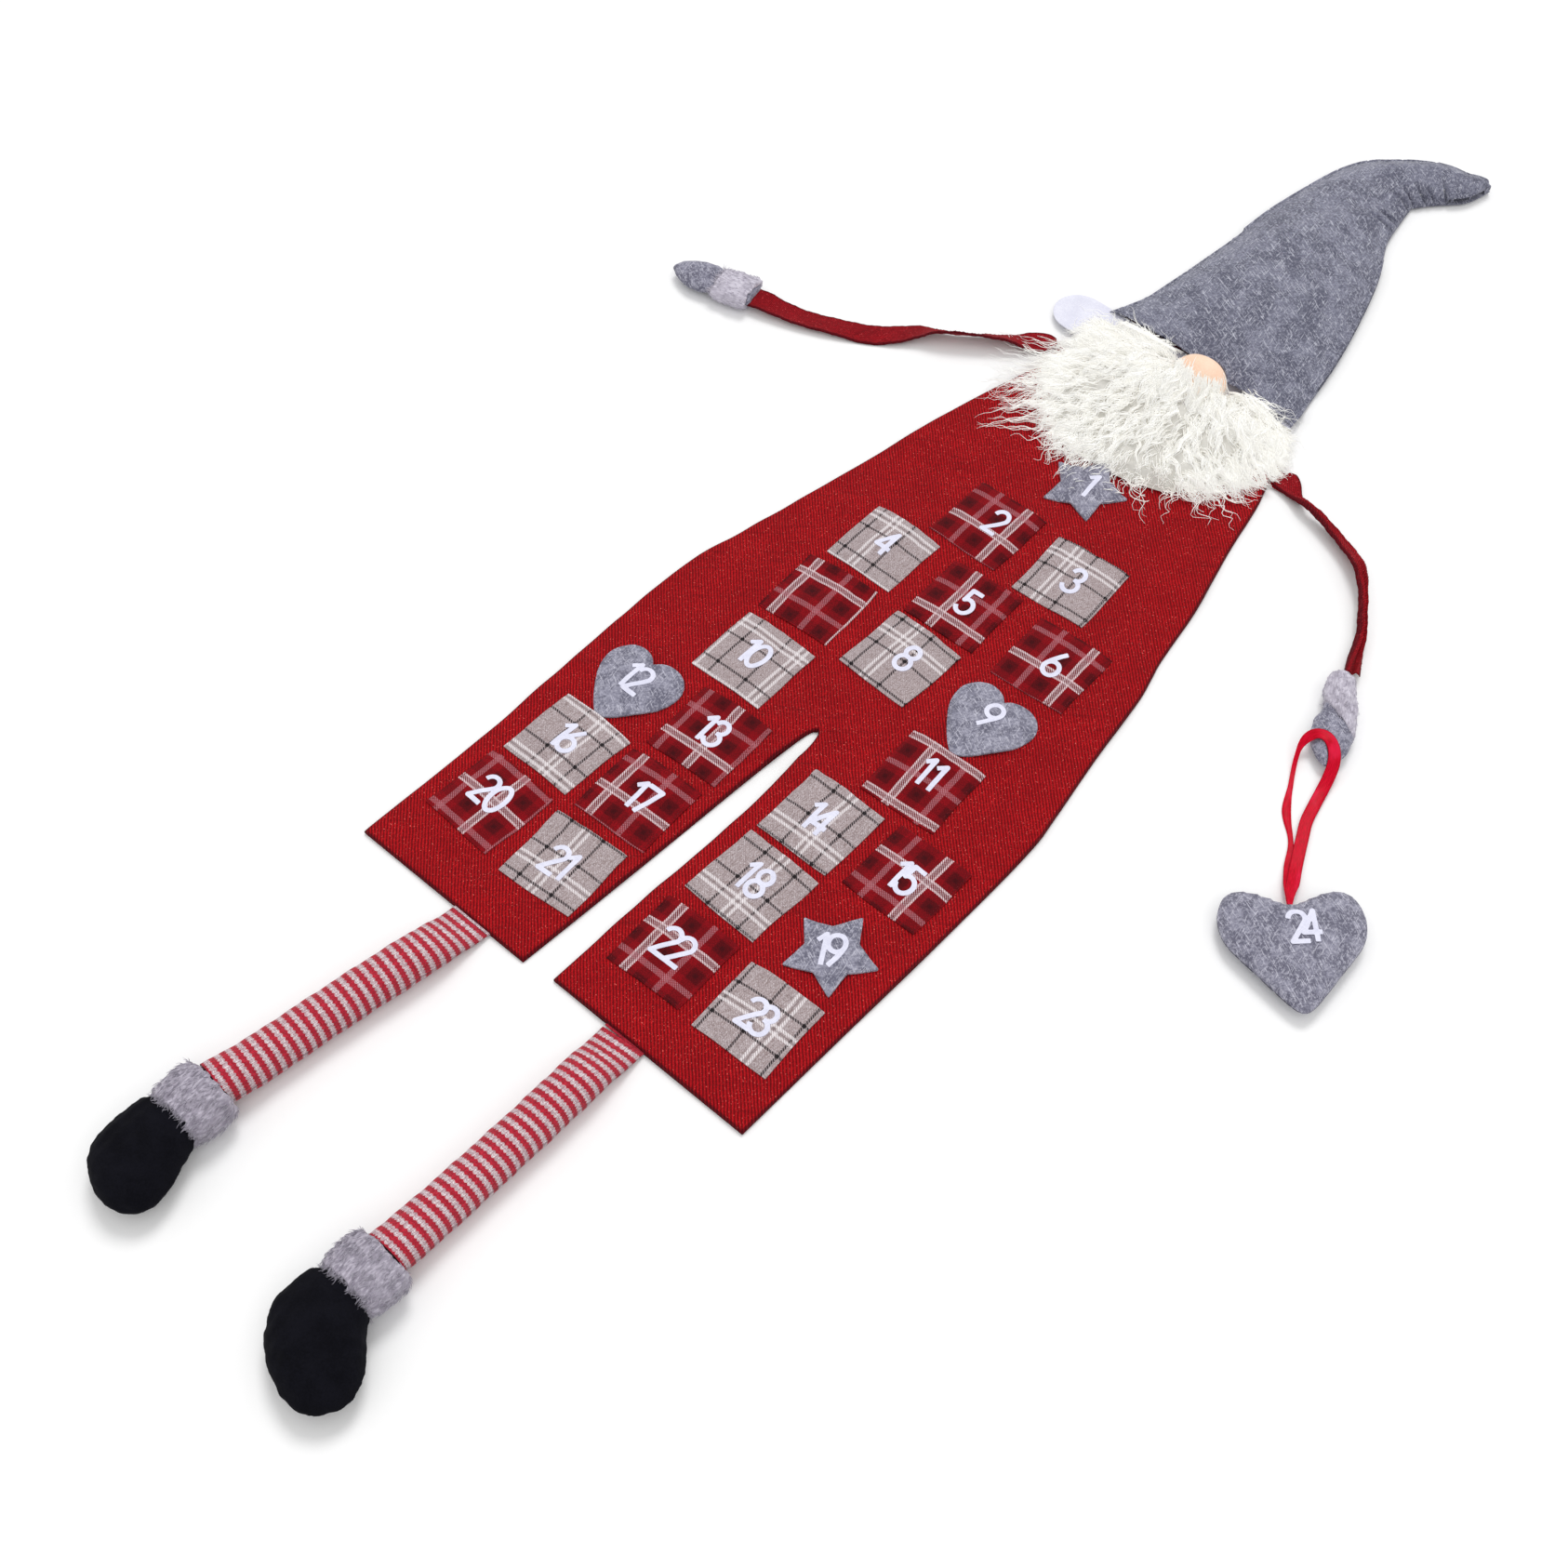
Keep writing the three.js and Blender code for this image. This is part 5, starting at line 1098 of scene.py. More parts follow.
def square_pocket(number, kind, x, y, degrees, share, bright, middle, width):
    """A square of plaid, sewn on at three sides and bowed out to its mouth, with its stitches and number."""
    side = SIDE * share
    centre = np.array([x, y - HEM])
    ticks = np.array(FINE + list(np.linspace(0.09, 0.91, 25)) + [1 - f for f in FINE[::-1]])
    n = len(ticks)
    u, v = np.meshgrid(ticks, ticks)
    s, t = (u.ravel() - 0.5) * side, (v.ravel() - 0.5) * side
    near_x, near_y = np.abs(s) / (side / 2), np.abs(t) / (side / 2)
    local = np.stack([s, t], 1)
    phase = number * 7.3
    local[:, 0] += 0.45 * np.sin(t * 0.085 + phase) * near_x ** 6
    local[:, 1] += 0.45 * np.sin(s * 0.075 + phase * 2) * near_y ** 6
    plan = turn(local, degrees, centre)

    def lift(q):
        """Height of the pocket's upper face at places in plan."""
        p = turn(np.asarray(q) - centre, -degrees)
        uu, vv = 2 * p[:, 0] / side, p[:, 1] / side + 0.5
        bow = 0.42 * BOW * bow_share(np.clip(uu, -1, 1), np.clip(vv, 0, 1))
        bow *= 1 + 0.22 * waves(p, 46, number + 40)
        edge = np.minimum(np.minimum(1 - np.abs(uu), 1.0) * side / 2, np.clip(vv, 0, 1) * side)
        mouth = (1 - np.clip(vv, 0, 1)) * side
        rim = np.minimum(edge, 40)
        thick = 0.95 - 0.3 * (1 - smoothstep(rim, -0.4, 0.8)) - 0.3 * (1 - smoothstep(mouth, 0, 0.9))
        fold = 0.35 * (1 - smoothstep(mouth, 6.5, 8.5))
        dent = -0.22 * np.exp(-((rim - 2.2) / 0.8) ** 2) * (mouth > 2)
        crease = 0.3 * waves(p, 15, number + 90) * np.clip(vv, 0.15, 1)
        return ground(q) + 0.35 + bow + thick + fold + dent + crease

    high = lift(plan)
    under = np.minimum(np.maximum(high - 1.0, ground(plan) + 0.05), high - 0.2)
    m = n * n
    cloth = np.stack([s + side / 2 - bright[0], t + side / 2 - bright[1], np.full(m, number * 3.1)], 1)
    verts = np.concatenate([np.column_stack([plan, high]), np.column_stack([plan, under])])
    faces = []
    for i in range(n - 1):
        for j in range(n - 1):
            a = i * n + j
            faces.append((a, a + 1, a + n + 1, a + n))
            faces.append((a + m, a + n + m, a + n + 1 + m, a + 1 + m))
    rim = list(range(n)) + [i * n + n - 1 for i in range(1, n)]
    rim += [(n - 1) * n + j for j in range(n - 2, -1, -1)] + [i * n for i in range(n - 2, 0, -1)]
    for a, b in zip(rim, rim[1:] + rim[:1]):
        faces.append((a, a + m, b + m, b))
    parts = [(verts, faces, np.concatenate([cloth, cloth]), 0)]
    inset, end = side / 2 - SEAM_IN, side / 2 - 1
    corners = [(-inset, end), (-inset, -inset), (inset, -inset), (inset, end)]
    parts.append(stitch_parts(turn(corners, degrees, centre), lift, 1))
    if middle is not None:
        at = turn([(middle[0] - side / 2, middle[1] - side / 2)], degrees, centre)[0]
        parts.append(number_parts(str(number), width, at, degrees, lift, 2))
    verts, faces, cloth, which = joined(*parts)
    main, thread = (PLAID, RED_THREAD) if kind == "red" else (LINEN, PALE_THREAD)
    name = f"pocket_{number:02d}_{kind}"
    obj = build(f"{name}_cloth", verts, faces, [main, thread, FILM], cloth, which)
    keep(obj, "body", name)


for row in POCKETS:
    square_pocket(*row)

# Half of a felt heart's outline, as shares of half its width and of its height
HEART = [[0, 0.245], [0.13, 0.31], [0.34, 0.352], [0.6, 0.355], [0.83, 0.3], [0.985, 0.18],
         [1, 0.03], [0.9, -0.14], [0.68, -0.32], [0.36, -0.52], [0.1, -0.64], [0, -0.66]]


def heart_loop(width, height, centre, degrees):
    """A felt heart's outline."""
    half = np.array([(x * width / 2, y * height) for x, y in HEART])
    loop = np.concatenate([half, np.array([(-x, y) for x, y in half[1:-1]])[::-1]])
    return turn(rounded(loop[::-1], 1.6, 50), degrees, centre)


def star_loop(radius, notch, centre, degrees):
    """A five-pointed star with eased corners."""
    corners = []
    for i in range(10):
        a = math.radians(90 + degrees + 36 * i)
        r = radius if i % 2 == 0 else notch
        corners.append(np.array([r * math.cos(a), r * math.sin(a)]) + centre)
    loop = []
    for i, p in enumerate(corners):
        before, after = corners[i - 1], corners[(i + 1) % 10]
        ease = 2.0 if i % 2 == 0 else 1.0
        one = p + (before - p) / np.linalg.norm(before - p) * ease
        two = p + (after - p) / np.linalg.norm(after - p) * ease
        loop += [one, (one + two + 2 * p) / 4, two]
        length = np.linalg.norm(after - p)
        steps = [k * 2.2 for k in range(1, int(length / 2.2)) if k * 2.2 > ease + 0.6]
        loop += [p + (after - p) * (step / length) for step in steps]
    return np.array(loop)


def felt_pocket(number, kind, centre, loop, half_mouth, mouth, seam, at, width, degrees):
    """A felt star or heart, bowed out between its seam and its mouth, with its stitches and number."""
    centre = np.asarray(centre, float)

    def lift(q):
        """Height of the pocket's upper face at places in plan."""
        q = np.asarray(q, float)
        uu = (q[:, 0] - centre[0]) / half_mouth
        vv = np.clip((q[:, 1] - centre[1] - seam) / (mouth - seam), 0, 1)
        bow = np.where(np.abs(uu) < 1, 0.6 * BOW * bow_share(np.clip(uu, -1, 1), vv), 0)
        return ground(q) + 1.9 + bow + 0.2 * waves(q, 13, number)

    points, tris, distance = region([loop], 3.0, (0.35, 0.9))
    high = lift(points) - 0.35 * np.clip(1 - distance / 0.9, 0, 1) ** 2
    verts, faces = shell(points, tris, high, np.maximum(high - 1.55, ground(points) + 0.1))
    parts = [(verts, faces, verts - (*centre, 0.0) + (number * 13.7, number * 5.1, 0), 0)]
    inset = 1 - 2.6 / (np.linalg.norm(loop - centre, axis=1).mean())
    line = centre + (loop - centre) * inset
    parts.append(stitch_parts(np.vstack([line, line[:1]]), lift, 1, 1.9, 1.5, 0.22))
    parts.append(number_parts(str(number), width, centre + at, degrees, lift, 2))
    verts, faces, cloth, which = joined(*parts)
    name = f"pocket_{number:02d}_{kind}"
    obj = build(f"{name}_felt", verts, faces, [FELT, GREY_THREAD, FILM], cloth, which)
    keep(obj, "body", name)
    abs(loop_area(loop)) * MM * MM


STAR = 40.0
STAR_NOTCH = 21.5
HEART_WIDE, HEART_TALL = 74, 72
# Number, centre in plan above the hem, a star's turn, the number's middle from there, its width and turn
STARS = ((1, 0, 646, 3, (2, 2), 18, 5), (19, 146, 152, 2, (-1, 0), 25, 30))
HEARTS = ((9, 95.5, 400, (1, -1), 18), (12, -139, 241, (0, -2), 25))
for number, x, y, degrees, at, width, own in STARS:
    middle = np.array([x, y - HEM])
    felt_pocket(number, "star", middle, star_loop(STAR * 0.95, STAR_NOTCH, middle, degrees),
                STAR * 0.62, STAR * 0.4, -STAR * 0.66, at, width, own)
for number, x, y, at, width in HEARTS:
    middle = np.array([x, y - HEM])
    felt_pocket(number, "heart", middle, heart_loop(HEART_WIDE, HEART_TALL, middle, 0),
                HEART_TALL * 0.45, HEART_TALL * 0.3, -HEART_TALL * 0.55, at, width, 0)


# Hat: a domed front felt over its stuffing, and a flat back felt

DOME_CORNER = 40.0         # an outline is sharp where it turns by more degrees


def drawn_back(loops, inset):
    """An outline drawn back inside itself, found on a grid."""
    reach = np.concatenate(loops)
    xs, ys = (np.arange(reach[:, k].min() - 4, reach[:, k].max() + 4, 3.0) for k in (0, 1))
    grid = np.stack(np.meshgrid(xs, ys), -1).reshape(-1, 2)
    way_in = np.where(inside(grid, loops), 1, -1) * edge_distance(grid, loops)
    found = contours((inset - way_in).reshape(len(ys), len(xs)), xs, ys)
    return [rounded(max(found, key=lambda p: abs(loop_area(p))), 3.0)]


def domed(name, node, material, body, step, rows, rounds, relief, shrink=1.0, extra=(),
          materials=(), shape=None, inset=0.0, under=None):
    """A stuffed or domed form over a CAD node's outline, between its own lower and upper faces."""
    height = caster(node)
    loops = [rounded(p, step * 0.6, DOME_CORNER) for p in outlines(node)[:1]]
    loops = drawn_back(loops, inset) if inset else loops
    points, tris, distance = region(loops, step, rows)
    held = distance < 0.05
    top = relaxed(points, tris, height(points), rounds, held)
    low = relaxed(points, tris, height(points, False), rounds, held)
    low = np.minimum(low, top - 0.3)
    if under is not None:
        top = np.minimum(top, under(points) - 1.5)
        low = np.minimum(low, top - 0.6)
    middle, seat = (top + low) / 2, low
    top, low = middle + (top - middle) * shrink, middle + (low - middle) * shrink
    drop = (low - seat) * (1 - smoothstep(distance, 0, 9))
    top, low = top - drop, low - drop
    if relief is not None:
        top = top + relief(points, distance)
    verts, faces = shell(points, tris, top, np.minimum(low, top - 0.25))
    parts = [(verts, faces, verts.copy(), 0), *extra]
    if shape is not None:
        parts[0] = (shape(verts), *parts[0][1:])
    verts, faces, coords, which = joined(*parts)
    obj = build(name, verts, faces, [material, *materials], coords, which)
    keep(obj, body, node)


# Creases across the hat's bend in plan, each from its outer to its inner end
CREASES = [((-5.1, 686.2), (11.6, 692.1)), ((-4.7, 698.3), (10.2, 702.2)), ((-14.1, 727.7), (7.7, 732.7)),
           ((-9.1, 741.0), (10.4, 738.5)), ((-2.6, 753.0), (15.3, 748.7)), ((16.6, 772.4), (28.0, 764.5)),
           ((-5.6, 729.8), (7.8, 728.9)), ((6.3, 757.6), (19.8, 755.4))]
TIP_ROOT, TIP_END = np.array([2.0, 768.0]), np.array([57.0, 797.0])


def pointed(points):
    """The hat's tip drawn in to a point, and its brim brought down over the nose, in plan."""
    points = np.array(points, float)
    axis = TIP_END - TIP_ROOT
    reach = np.hypot(*axis)
    axis /= reach
    side = np.array([-axis[1], axis[0]])
    run = ((points[:, :2] - TIP_ROOT) @ axis) / reach
    across = (points[:, :2] - TIP_ROOT) @ side
    upper = smoothstep(across - 10.5, -8, 8)
    near = np.abs(across) < 45
    fall = 5.0 * (smoothstep(run, -1.1, -0.45) - smoothstep(run, 0.5, 1.0))
    fall = (fall + 4.0 * np.exp(-((run - 0.62) / 0.2) ** 2)) * upper
    lift = 5.5 * smoothstep(run, 0.55, 1.0) * (1 - upper)
    points[:, :2] += (near * (lift - fall))[:, None] * side
    points[:, 1] -= 9.0 * np.exp(-((points[:, 0] - 8) / 26) ** 2) * (1 - smoothstep(points[:, 1], 421, 452))
    return points


def hat_relief(points, distance):
    """Creases at the bend, a gathered tip, slow waves, and a groove and lip along the seam."""
    gather = np.zeros(len(points))
    for outer, inner in CREASES:
        outer, inner = np.array(outer), np.array(inner)
        way = inner - outer
        t = np.clip(((points - outer) @ way) / (way @ way), -0.25, 1.15)
        beside = np.hypot(*(points - outer - t[:, None] * way).T)
        deep = 4.8 * smoothstep(t, -0.25, 0.35)
        gather -= deep * np.exp(-(beside / 1.4) ** 2)
        gather += 0.35 * deep * np.exp(-((beside - 3.7) / 1.7) ** 2)
    tip = 0.7 * np.exp(-((points[:, 1] - 775) / 30) ** 2) * np.sin(points[:, 0] * 0.55 + points[:, 1] * 0.2)
    slow = 1.1 * waves(points, 95, 31) + 0.5 * waves(points, 34, 32)
    groove = -1.0 * np.exp(-((distance - 3.4) / 1.0) ** 2)
    lip = 0.5 * np.exp(-((distance - 1.2) / 0.9) ** 2)
    inner = smoothstep(distance, 0, 14)
    gather = gather * smoothstep(distance, -2, 2)
    tip = tip * smoothstep(points[:, 1], 735, 760) * inner
    return gather + tip + slow * inner + groove + lip


domed("hat_front_felt", "hat_front", HAT, "body", 1.8, (0.4, 1.0, 2.0, 3.2, 4.8), 60, hat_relief,
      shape=pointed)
front_under = caster("hat_front")
domed("hat_stuffing_pad", "hat_stuffing", PADDING, "body", 9.0, (1.5, 4.0), 10, None,
      shape=pointed, inset=7.0, under=lambda q: front_under(q, False) - 3.0)
plain_sheet("hat_back_felt", "hat_back", HAT, "body", "grey_felt", 8.0, "hat_front_felt", pointed)


# Nose: a stuffed ball of thin felt, gathered where it is sewn on

lo, hi = (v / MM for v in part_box("nose"))
NOSE_AT = ((lo.x + hi.x) / 2 + 1.0, (lo.y + hi.y) / 2 - 11.0)
NOSE_WIDE, NOSE_DEEP = 25.0, 19.0    # half its width, and half its depth down the body
NOSE_TOP = 43.0
NOSE_SIDES = 96
rings = []
start = -1.1               # the lowest ring's angle from the ball's middle
around = np.linspace(0, 2 * math.pi, NOSE_SIDES, endpoint=False)
for polar in np.linspace(start, math.pi / 2 - 0.012, 44):
    gathered = max(0.0, 1 - (polar - start) / 0.9) ** 2
    pucker = 1 + 0.02 * np.sin(around * 17 + 0.7 * np.sin(around * 3)) * gathered
    r = math.cos(polar) * pucker
    share = (math.sin(polar) - math.sin(start)) / (1 - math.sin(start))
    z = lo.z + (NOSE_TOP - lo.z) * share
    rings.append(np.stack([NOSE_AT[0] + NOSE_WIDE * r * np.cos(around),
                           NOSE_AT[1] + NOSE_DEEP * r * np.sin(around), np.full(NOSE_SIDES, z)], 1))
verts, faces = sections_to_mesh(rings)
verts += 0.25 * waves(verts, 19, 77)[:, None] * (0, 0, 1.0)
nose = build("nose_ball", verts, faces, NOSE)
keep(nose, "body", "nose")


# Arms: flat tapes with folded, stitched edges. Each row: x, y above the hem, tilt, share of the width

TAPE_HALF = 12.0
TAPE_THICK = 2.2
ARM_ROWS = {
    "left": [[-128.4, 770.2, 0, .35], [-131.5, 767.6, 0, .8], [-137, 763, 0, 1], [-147.3, 754.9, 0, 1],
             [-158, 746.5, 28, 1], [-172, 735.8, 38, 1], [-188, 723.5, 44, 1], [-200, 714.5, 46, 1],
             [-213, 706.5, 40, 1], [-228, 697.5, 20, 1], [-245, 681.5, 6, 1], [-262, 668.5, 0, 1],
             [-290, 654.5, 8, 1], [-320, 641.8, 10, 1], [-345, 634.5, 6, 1], [-357, 631.6, 0, 1],
             [-368, 629, 0, 1]],
    "right": [[115.9, 772.3, 0, .7], [119.8, 770.6, 0, .98], [126, 768, 0, .92], [138.5, 761.5, -24, .62],
              [151.2, 755.2, -50, .36], [165, 752.6, -46, .44], [182.7, 747.6, -44, .6],
              [196, 743.6, -40, .76], [210.2, 737.5, -36, .82], [226.2, 725.6, -36, .68],
              [244.7, 704.2, -42, .42], [257, 685, -44, .36], [267.2, 669.6, -42, .4], [275, 651.4, -34, .5],
              [279.5, 639.6, -14, .54], [283.9, 629, 0, .56]],
}
# Across a tape: share of the half width, height above and below its middle, folded edges thicker
TAPE_PROFILE = [(-1, 0.35), (-0.97, 0.85), (-0.88, 1.12), (-0.8, 1.0), (-0.76, 0.86), (-0.4, 0.9), (0, 0.94),
                (0.4, 0.9), (0.76, 0.86), (0.8, 1.0), (0.88, 1.12), (0.97, 0.85), (1, 0.35)]
STITCHED = (2, 10)         # the profile's points that carry the edges' stitches


def arm(side):
    """A tape along its rows, tilted and folded where it is narrow, with a line of stitches at both edges."""
    node = f"{side}_arm"
    height = caster(node)
    rows = np.array(ARM_ROWS[side], float)
    rows[:, 1] -= HEM
    mid = (height(rows[:, :2]) + height(rows[:, :2], False)) / 2
    line = curve(np.column_stack([rows[:, :2], mid, rows[:, 2:]]), 3.0)
    ahead = np.gradient(line[:, :3], axis=0)
    ahead[:, 2] = 0
    ahead /= np.linalg.norm(ahead, axis=1)[:, None]
    run = way_along(line[:, :3])
    profile = np.array(TAPE_PROFILE)
    section = np.concatenate([profile, profile[::-1]])
    sign = np.concatenate([np.ones(len(profile)), -np.ones(len(profile))])
    rings, cloth = [], []
    phase = 3.0 if side == "left" else 8.0
    for i, (x, y, z, tilt, share) in enumerate(line):
        a = math.radians(tilt)
        across = np.array([-ahead[i, 1] * math.cos(a), ahead[i, 0] * math.cos(a), math.sin(a)])
        up = np.cross(ahead[i], across)
        half = TAPE_HALF * max(share, 0.3)
        cup = 0.9 * math.sin(run[i] * 0.045 + phase) * (section[:, 0] ** 2 - 0.4)
        crumple = TAPE_HALF / 2 * math.sqrt(max(0.0, 1 - share * share))    # narrow parts lie in folds
        cup += crumple * (0.5 - np.abs(2 * np.abs(section[:, 0]) - 1))
        ripple = 0.25 * np.sin(run[i] * 0.31 + section[:, 0] * 2.4 + phase)
        ripple = ripple + 0.2 * np.sin(run[i] * 0.83 + section[:, 0] * 1.1)
        lift = sign * section[:, 1] * TAPE_THICK / 2 + (cup + ripple) * smoothstep(run[i], 10, 30)
        ring = np.array([x, y, z]) + section[:, :1] * half * across + lift[:, None] * up
        ring[:, 2] = np.maximum(ring[:, 2], 0.05)
        rings.append(ring)
        inward = np.minimum((1 - np.abs(section[:, 0])) * half, SEAM_DEEP)
        cloth.append(np.column_stack([section[:, 0] * half, np.full(len(section), run[i]), inward]))
    verts, faces = sections_to_mesh(rings)
    parts = [(verts, faces, np.concatenate(cloth), 0)]
    for j in STITCHED:
        paths = []
        for s in np.arange(14, run[-1] - 4, 3.6):
            at = []
            for t, dip in ((s, -0.15), (s + 1.1, 0.2), (s + 2.2, -0.15)):
                i = int(np.searchsorted(run, t))
                ring = rings[min(i, len(rings) - 1)]
                up = ring[j] - ring[len(section) - 1 - j]
                at.append(ring[j] + up / np.linalg.norm(up) * dip)
            paths.append(at)
        v, f, _ = strands(paths, 0.24, 1.0, 4)
        parts.append((v, f, v.copy(), 1))
    verts, faces, coords, which = joined(*parts)
    obj = build(f"{side}_arm_tape", verts, faces, [TAPE, RED_THREAD], coords, which, 60)
    keep(obj, f"{side}_arm", node)


for side in ("left", "right"):
    arm(side)


# Stuffed limbs: fine, smoothed forms

WELD = 2e-5                # CAD points closer than this, in metres, are one


def smooth_form(node, voxel, passes, fit=True):
    """A fine, even and smoothed copy of a CAD node's closed form, stretched back to the node's box where
    fit is true: points in mm, faces, normals."""
    mesh = nodes[node].data.copy()
    obj = bpy.data.objects.new("form", mesh)
    bpy.context.scene.collection.objects.link(obj)
    bm = bmesh.new()
    bm.from_mesh(mesh)
    bmesh.ops.remove_doubles(bm, verts=bm.verts, dist=WELD)
    bm.to_mesh(mesh)
    bm.free()
    fine = obj.modifiers.new("fine", "REMESH")
    fine.mode, fine.voxel_size = "VOXEL", voxel * MM
    even_out = obj.modifiers.new("even", "SMOOTH")
    even_out.factor, even_out.iterations = 0.5, passes
    done = obj.evaluated_get(bpy.context.evaluated_depsgraph_get())
    out = done.to_mesh()
    verts = np.array([v.co for v in out.vertices]) / MM
    faces = [tuple(p.vertices) for p in out.polygons]
    normals = np.array([v.normal for v in out.vertices])
    done.to_mesh_clear()
    bpy.data.objects.remove(obj)
    bpy.data.meshes.remove(mesh)
    if fit:
        lo, hi = (np.array(v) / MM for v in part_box(node))
        low, high = verts.min(0), verts.max(0)
        verts = lo + (verts - low) * (hi - lo) / (high - low)
    return verts, faces, normals


def left_of(ahead):
    """The direction in plan to the left of a direction."""
    return np.array([-ahead[1], ahead[0], 0.0])


PILE_RADIUS = 0.3
PILE_POINTS = 5


def pile(verts, faces, normals, count, lengths, comb, seed, lean, where=None):
    """Short hairs all over a form, combed one way, and thicker on the ground where where is large."""
    draw = np.random.default_rng(seed)
    a = np.array([f[:3] for f in faces])
    p0, p1, p2 = verts[a[:, 0]], verts[a[:, 1]], verts[a[:, 2]]
    centre = (p0 + p1 + p2) / 3
    area = np.linalg.norm(np.cross(p1 - p0, p2 - p0), axis=1)
    if where is not None:
        area = area * where(centre)
    chosen = draw.choice(len(a), count, p=area / area.sum())
    root = centre[chosen] + draw.normal(0, 0.35, (count, 3))
    out = normals[a[chosen, 0]]
    way = comb(centre[chosen]) + draw.normal(0, 0.28, (count, 3))
    way -= out * (way * out).sum(1)[:, None]
    way /= np.maximum(np.linalg.norm(way, axis=1), 1e-6)[:, None]
    length = draw.uniform(*lengths, count)[:, None]
    bend = draw.normal(0, 0.25, (count, 3))
    lines = []
    for t in np.linspace(0, 1, PILE_POINTS):
        rise = (1 - lean) * t + 0.12 * math.sin(t * math.pi)
        lines.append(root + length * (way * t * lean + out * (rise - 0.1) + bend * t * t * 0.5))
    paths = np.stack(lines, 1)
    paths[:, :, 2] = np.maximum(paths[:, :, 2], 0.3)
    return strands(paths, PILE_RADIUS, 0.3, 3, draw.uniform(0, 1, count))


# Each hand's wrist, and the way from there to its fingers
WRISTS = {"left": (np.array([-368.162, 228.966, 9.1]), np.array([-0.9746, -0.2238, 0.0])),
          "right": (np.array([283.692, 228.864, 9.1]), np.array([0.4282, -0.9036, 0.0]))}


def from_wrist(verts, hand):
    """The directions along and across a hand, and how far verts lie along them from its wrist."""
    start, ahead = WRISTS[hand]
    side = left_of(ahead)
    return ahead, side, (verts - start) @ ahead, (verts - start) @ side


def slanted(verts):
    """The right hand's cuff in plan: drawn in at the wrist, longer on its outer side."""
    ahead, side, s, t = from_wrist(verts, "right")
    share = np.clip(s / 36, 0, 1)
    new_s = 5 + 1.3 * s + 0.95 * t * share + 0.004 * t * t * (1 - share)
    new_t = -3 - 3 * (1 - share) + t * (0.4 + 0.42 * np.sqrt(share))
    return verts + (new_s - s)[:, None] * ahead + (new_t - t)[:, None] * side


def drawn_in(verts):
    """The right hand's mitten: slim, with its tip to the outer side, and pressed in under the ribbon."""
    ahead, side, s, t = from_wrist(verts, "right")
    share = np.clip(s / 92, 0, 1)
    new_s = s + 5 + 9 * (1 - share)
    new_t = -5.5 + t * (0.5 + 0.36 * smoothstep(s, 4, 40)) * (1 - 0.15 * share ** 2)
    moved = verts + (new_s - s)[:, None] * ahead + (new_t - t)[:, None] * side
    away = np.hypot(*(moved[:, None, :2] - RIBBON_LINE[None, :, :2]).transpose(2, 0, 1))
    nearest = away.argmin(1)
    off = np.maximum(away.min(1) - RIBBON_WIDTH / 2, 0)
    moved[:, 2] = np.minimum(moved[:, 2], np.maximum(RIBBON_LINE[nearest, 2] - 1.6, 0.4) + 1.2 * off)
    return moved


def peaked(verts):
    """The left hand's mitten in plan: drawn in towards its tip."""
    _, side, s, t = from_wrist(verts, "left")
    share = np.clip(s / 84, 0, 1)
    return verts + (t * (0.95 - 0.3 * share ** 3) - t)[:, None] * side


def plush_cuff(name, node, body, start, end, count, fringe, lengths, shape=None, looks=(PLUSH, PILE)):
    """A plush band round a limb: a soft base, hairs combed towards the hand or boot, and a fringe."""
    verts, faces, normals = smooth_form(node, 1.6, 3, False)
    verts = verts if shape is None else shape(verts)
    ahead = end - start
    reach = np.linalg.norm(ahead)
    ahead = ahead / reach
    side = left_of(ahead)
    way = (verts - start) @ ahead
    verts = verts + normals * (0.7 * waves(verts, 13, len(name)) + 0.35 * waves(verts, 5, 9))[:, None]
    verts[:, 2] = np.maximum(verts[:, 2], 0.15)
    cloth = np.column_stack([(verts - start) @ side, way, verts[:, 2]])
    parts = [(verts, faces, cloth, 0)]
    combed = lambda c: np.tile(ahead, (len(c), 1))
    parts.append((*pile(verts, faces, normals, count, lengths, combed, 11 + count, 0.86), 1))
    rim = lambda c: np.exp(-(((c - start) @ ahead - reach) / 2.5) ** 2) + 1e-6
    parts.append((*pile(verts, faces, normals, fringe, (4.0, 7.5), combed, 12 + count, 0.92, rim), 1))
    verts, faces, coords, which = joined(*parts)
    obj = build(name, verts, faces, list(looks), coords, which, None)
    keep(obj, body, node)


def felt_form(name, node, body, material, voxel, passes, welt, wrinkle, seed, shape=None):
    """A stuffed felt form with a welt where its faces stand upright, and fine wrinkles."""
    verts, faces, normals = smooth_form(node, voxel, passes)
    verts = verts if shape is None else shape(verts)
    level = np.exp(-(normals[:, 2] / 0.22) ** 2)
    flat = normals.copy()
    flat[:, 2] = 0
    verts = verts + flat * (welt * level)[:, None]
    slack = wrinkle * waves(verts, 12, seed) + 0.4 * wrinkle * waves(verts, 4.5, seed + 1)
    verts = verts + normals * slack[:, None]
    verts[:, 2] = np.maximum(verts[:, 2], 0.1)
    obj = build(name, verts, faces, material, verts, None, None)
    keep(obj, body, node)


